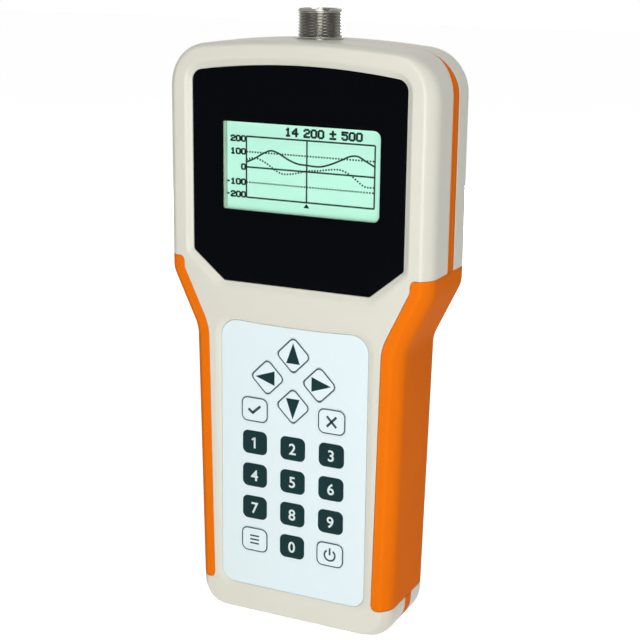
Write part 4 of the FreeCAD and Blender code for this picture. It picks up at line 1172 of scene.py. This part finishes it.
# screws of steel, zinc plated: bright with a faint blue-grey bloom
dress(["case_screws", "board_screws", "flange_screws"],
      rolled_metal("zinc_plated_steel", "b4b4ae", "96968f", roughness=0.3, grain_mm=1.2))
# tinned steel sheet, pressed and folded: paler and softer in its shine
dress(["shield_can", "usb_socket"],
      rolled_metal("tinned_steel", "c2c2bf", "a9a9a6", roughness=0.32, grain_mm=2.0))
# spring steel wire and strip: drawn bright
dress(["snap_domes", "battery_springs", "battery_plates"],
      rolled_metal("spring_steel", "b9b9b4", "a0a09b", roughness=0.25, grain_mm=0.8))
# glass-filled nylon, moulded black with a dry, grainy skin
dress(["display_header", "tail_socket", "battery_tray"],
      moulded("black_nylon", "1b1b1c", "242425", roughness=0.5, grain_mm=0.8, height_mm=0.006))
# the buzzer's case, moulded in a smoother black resin
dress(["buzzer"], moulded("black_buzzer_resin", "151516", "1e1e1f", roughness=0.35,
                          grain_mm=1.0, height_mm=0.003))
# epoxy moulding compound of chips: matt black, finely pitted
dress(["processor", "board_parts"],
      moulded("moulding_compound", "202022", "2a2a2c", roughness=0.55, grain_mm=0.3,
              height_mm=0.004))
# plain shrink film round the cells: dark grey under a clear gloss
dress(["battery_cell_1", "battery_cell_2", "battery_cell_3"],
      moulded("shrink_film_jacket", "2c3136", "343a40", roughness=0.25, grain_mm=3.0,
              height_mm=0.002, **{"Coat Weight": 0.3}))


# ------------------------------------------------------------------------------------------------
# Studio. A white paper floor in a white surround. One square lamp stands low beside the camera,
# a broader one hangs above, and a small one behind lights the back. Floor and surround show white
# to the camera, in mirrors and through glass, and add little light of their own.
# ------------------------------------------------------------------------------------------------
scene = bpy.context.scene
scene.view_settings.view_transform = "Standard"

floor_mesh = bpy.data.meshes.new("studio_floor")
floor_size, floor_level = 4.0, -0.0002
corners = [(x * floor_size, y * floor_size, floor_level)
           for x, y in ((-1, -1), (1, -1), (1, 1), (-1, 1))]
floor_mesh.from_pydata(corners, [], [(0, 1, 2, 3)])
floor = bpy.data.objects.new("studio_floor", floor_mesh)
scene.collection.objects.link(floor)


def seen_rays(tree):
    """One for rays from the camera, from mirrors and through glass, and nought for all others."""
    path = add(tree, "ShaderNodeLightPath")
    seen = add(tree, "ShaderNodeMath", {"operation": "MAXIMUM"},
               {0: path.outputs["Is Camera Ray"], 1: path.outputs["Is Glossy Ray"]})
    return add(tree, "ShaderNodeMath", {"operation": "MAXIMUM"},
               {0: seen.outputs[0], 1: path.outputs["Is Transmission Ray"]}).outputs[0]


# matt white paper, lifted to white where it is seen, so that only the object's shadow shows on it
floor_lift = 0.8
paper, tree, shader = finish("white_paper", {
    "Base Color": linear("f6f6f6"), "Roughness": 0.9, "Specular IOR Level": 0.0,
    "Emission Color": linear("ffffff")})
lifted = add(tree, "ShaderNodeMath", {"operation": "MULTIPLY", 1: floor_lift}, {0: seen_rays(tree)})
tree.links.new(lifted.outputs[0], shader.inputs["Emission Strength"])
floor_mesh.materials.append(paper)

# the surround is white where it is seen, and lights the object at a fifth of that
surround_light = 0.2
world = bpy.data.worlds.new("studio_surround")
scene.world = world
world.use_nodes = True
tree = world.node_tree
level = add(tree, "ShaderNodeMapRange", {3: surround_light, 4: 1.0}, {0: seen_rays(tree)})
tree.links.new(level.outputs[0], tree.nodes["Background"].inputs["Strength"])
tree.nodes["Background"].inputs["Color"].default_value = linear("ffffff")


def stand(thing, place, right, up, away):
    """Places a lamp or the camera: right, up and away are the directions of its own three axes,
    the last of them away from what it faces."""
    matrix = np.eye(4)
    matrix[:3, :3], matrix[:3, 3] = np.stack([right, up, away], 1), place
    thing.matrix_world = mathutils.Matrix(matrix.tolist())


def lamp(name, place, target, size, watts):
    """A square soft lamp at a place, turned to face its target."""
    light = bpy.data.lights.new(name, "AREA")
    light.shape = "SQUARE"
    light.size = size
    light.energy = watts
    thing = bpy.data.objects.new(name, light)
    scene.collection.objects.link(thing)
    away = np.array(place) - np.array(target)
    away = away / np.linalg.norm(away)
    right = np.cross([0, 0, 1], away)
    right = right / np.linalg.norm(right)
    stand(thing, place, right, np.cross(away, right), away)


lamp("key_lamp", place=(0.28, -0.64, 0.15), target=(0, 0, 0.1), size=0.3, watts=2.6)
lamp("top_lamp", place=(0.18, -0.3, 0.95), target=(0, 0, 0.12), size=0.5, watts=2.2)
lamp("back_lamp", place=(-0.35, 1.0, 0.08), target=(0, 0, 0.1), size=0.2, watts=4.5)

# camera: an 82 mm lens about half a metre off, to the right of the front and a little above,
# turned by its yaw, pitch and roll and shifted a little to hold the case in the frame
camera_data = bpy.data.cameras.new("camera")
camera = bpy.data.objects.new("camera", camera_data)
scene.collection.objects.link(camera)
camera_data.sensor_width = 36.0
camera_data.lens = 82.14
camera_data.shift_x, camera_data.shift_y = 0.0071, 0.0066
yaw, pitch, roll_angle = math.radians(25.63), math.radians(14.64), math.radians(0.65)
forward = np.array([-math.sin(yaw) * math.cos(pitch), math.cos(yaw) * math.cos(pitch),
                    -math.sin(pitch)])
level_right = np.array([math.cos(yaw), math.sin(yaw), 0])
level_up = np.cross(level_right, forward)
right = level_right * math.cos(roll_angle) + level_up * math.sin(roll_angle)
up = level_up * math.cos(roll_angle) - level_right * math.sin(roll_angle)
stand(camera, (0.2274, -0.4751, 0.2523), right, up, away=-forward)
camera_data.clip_start = 0.01
bpy.context.scene.camera = camera
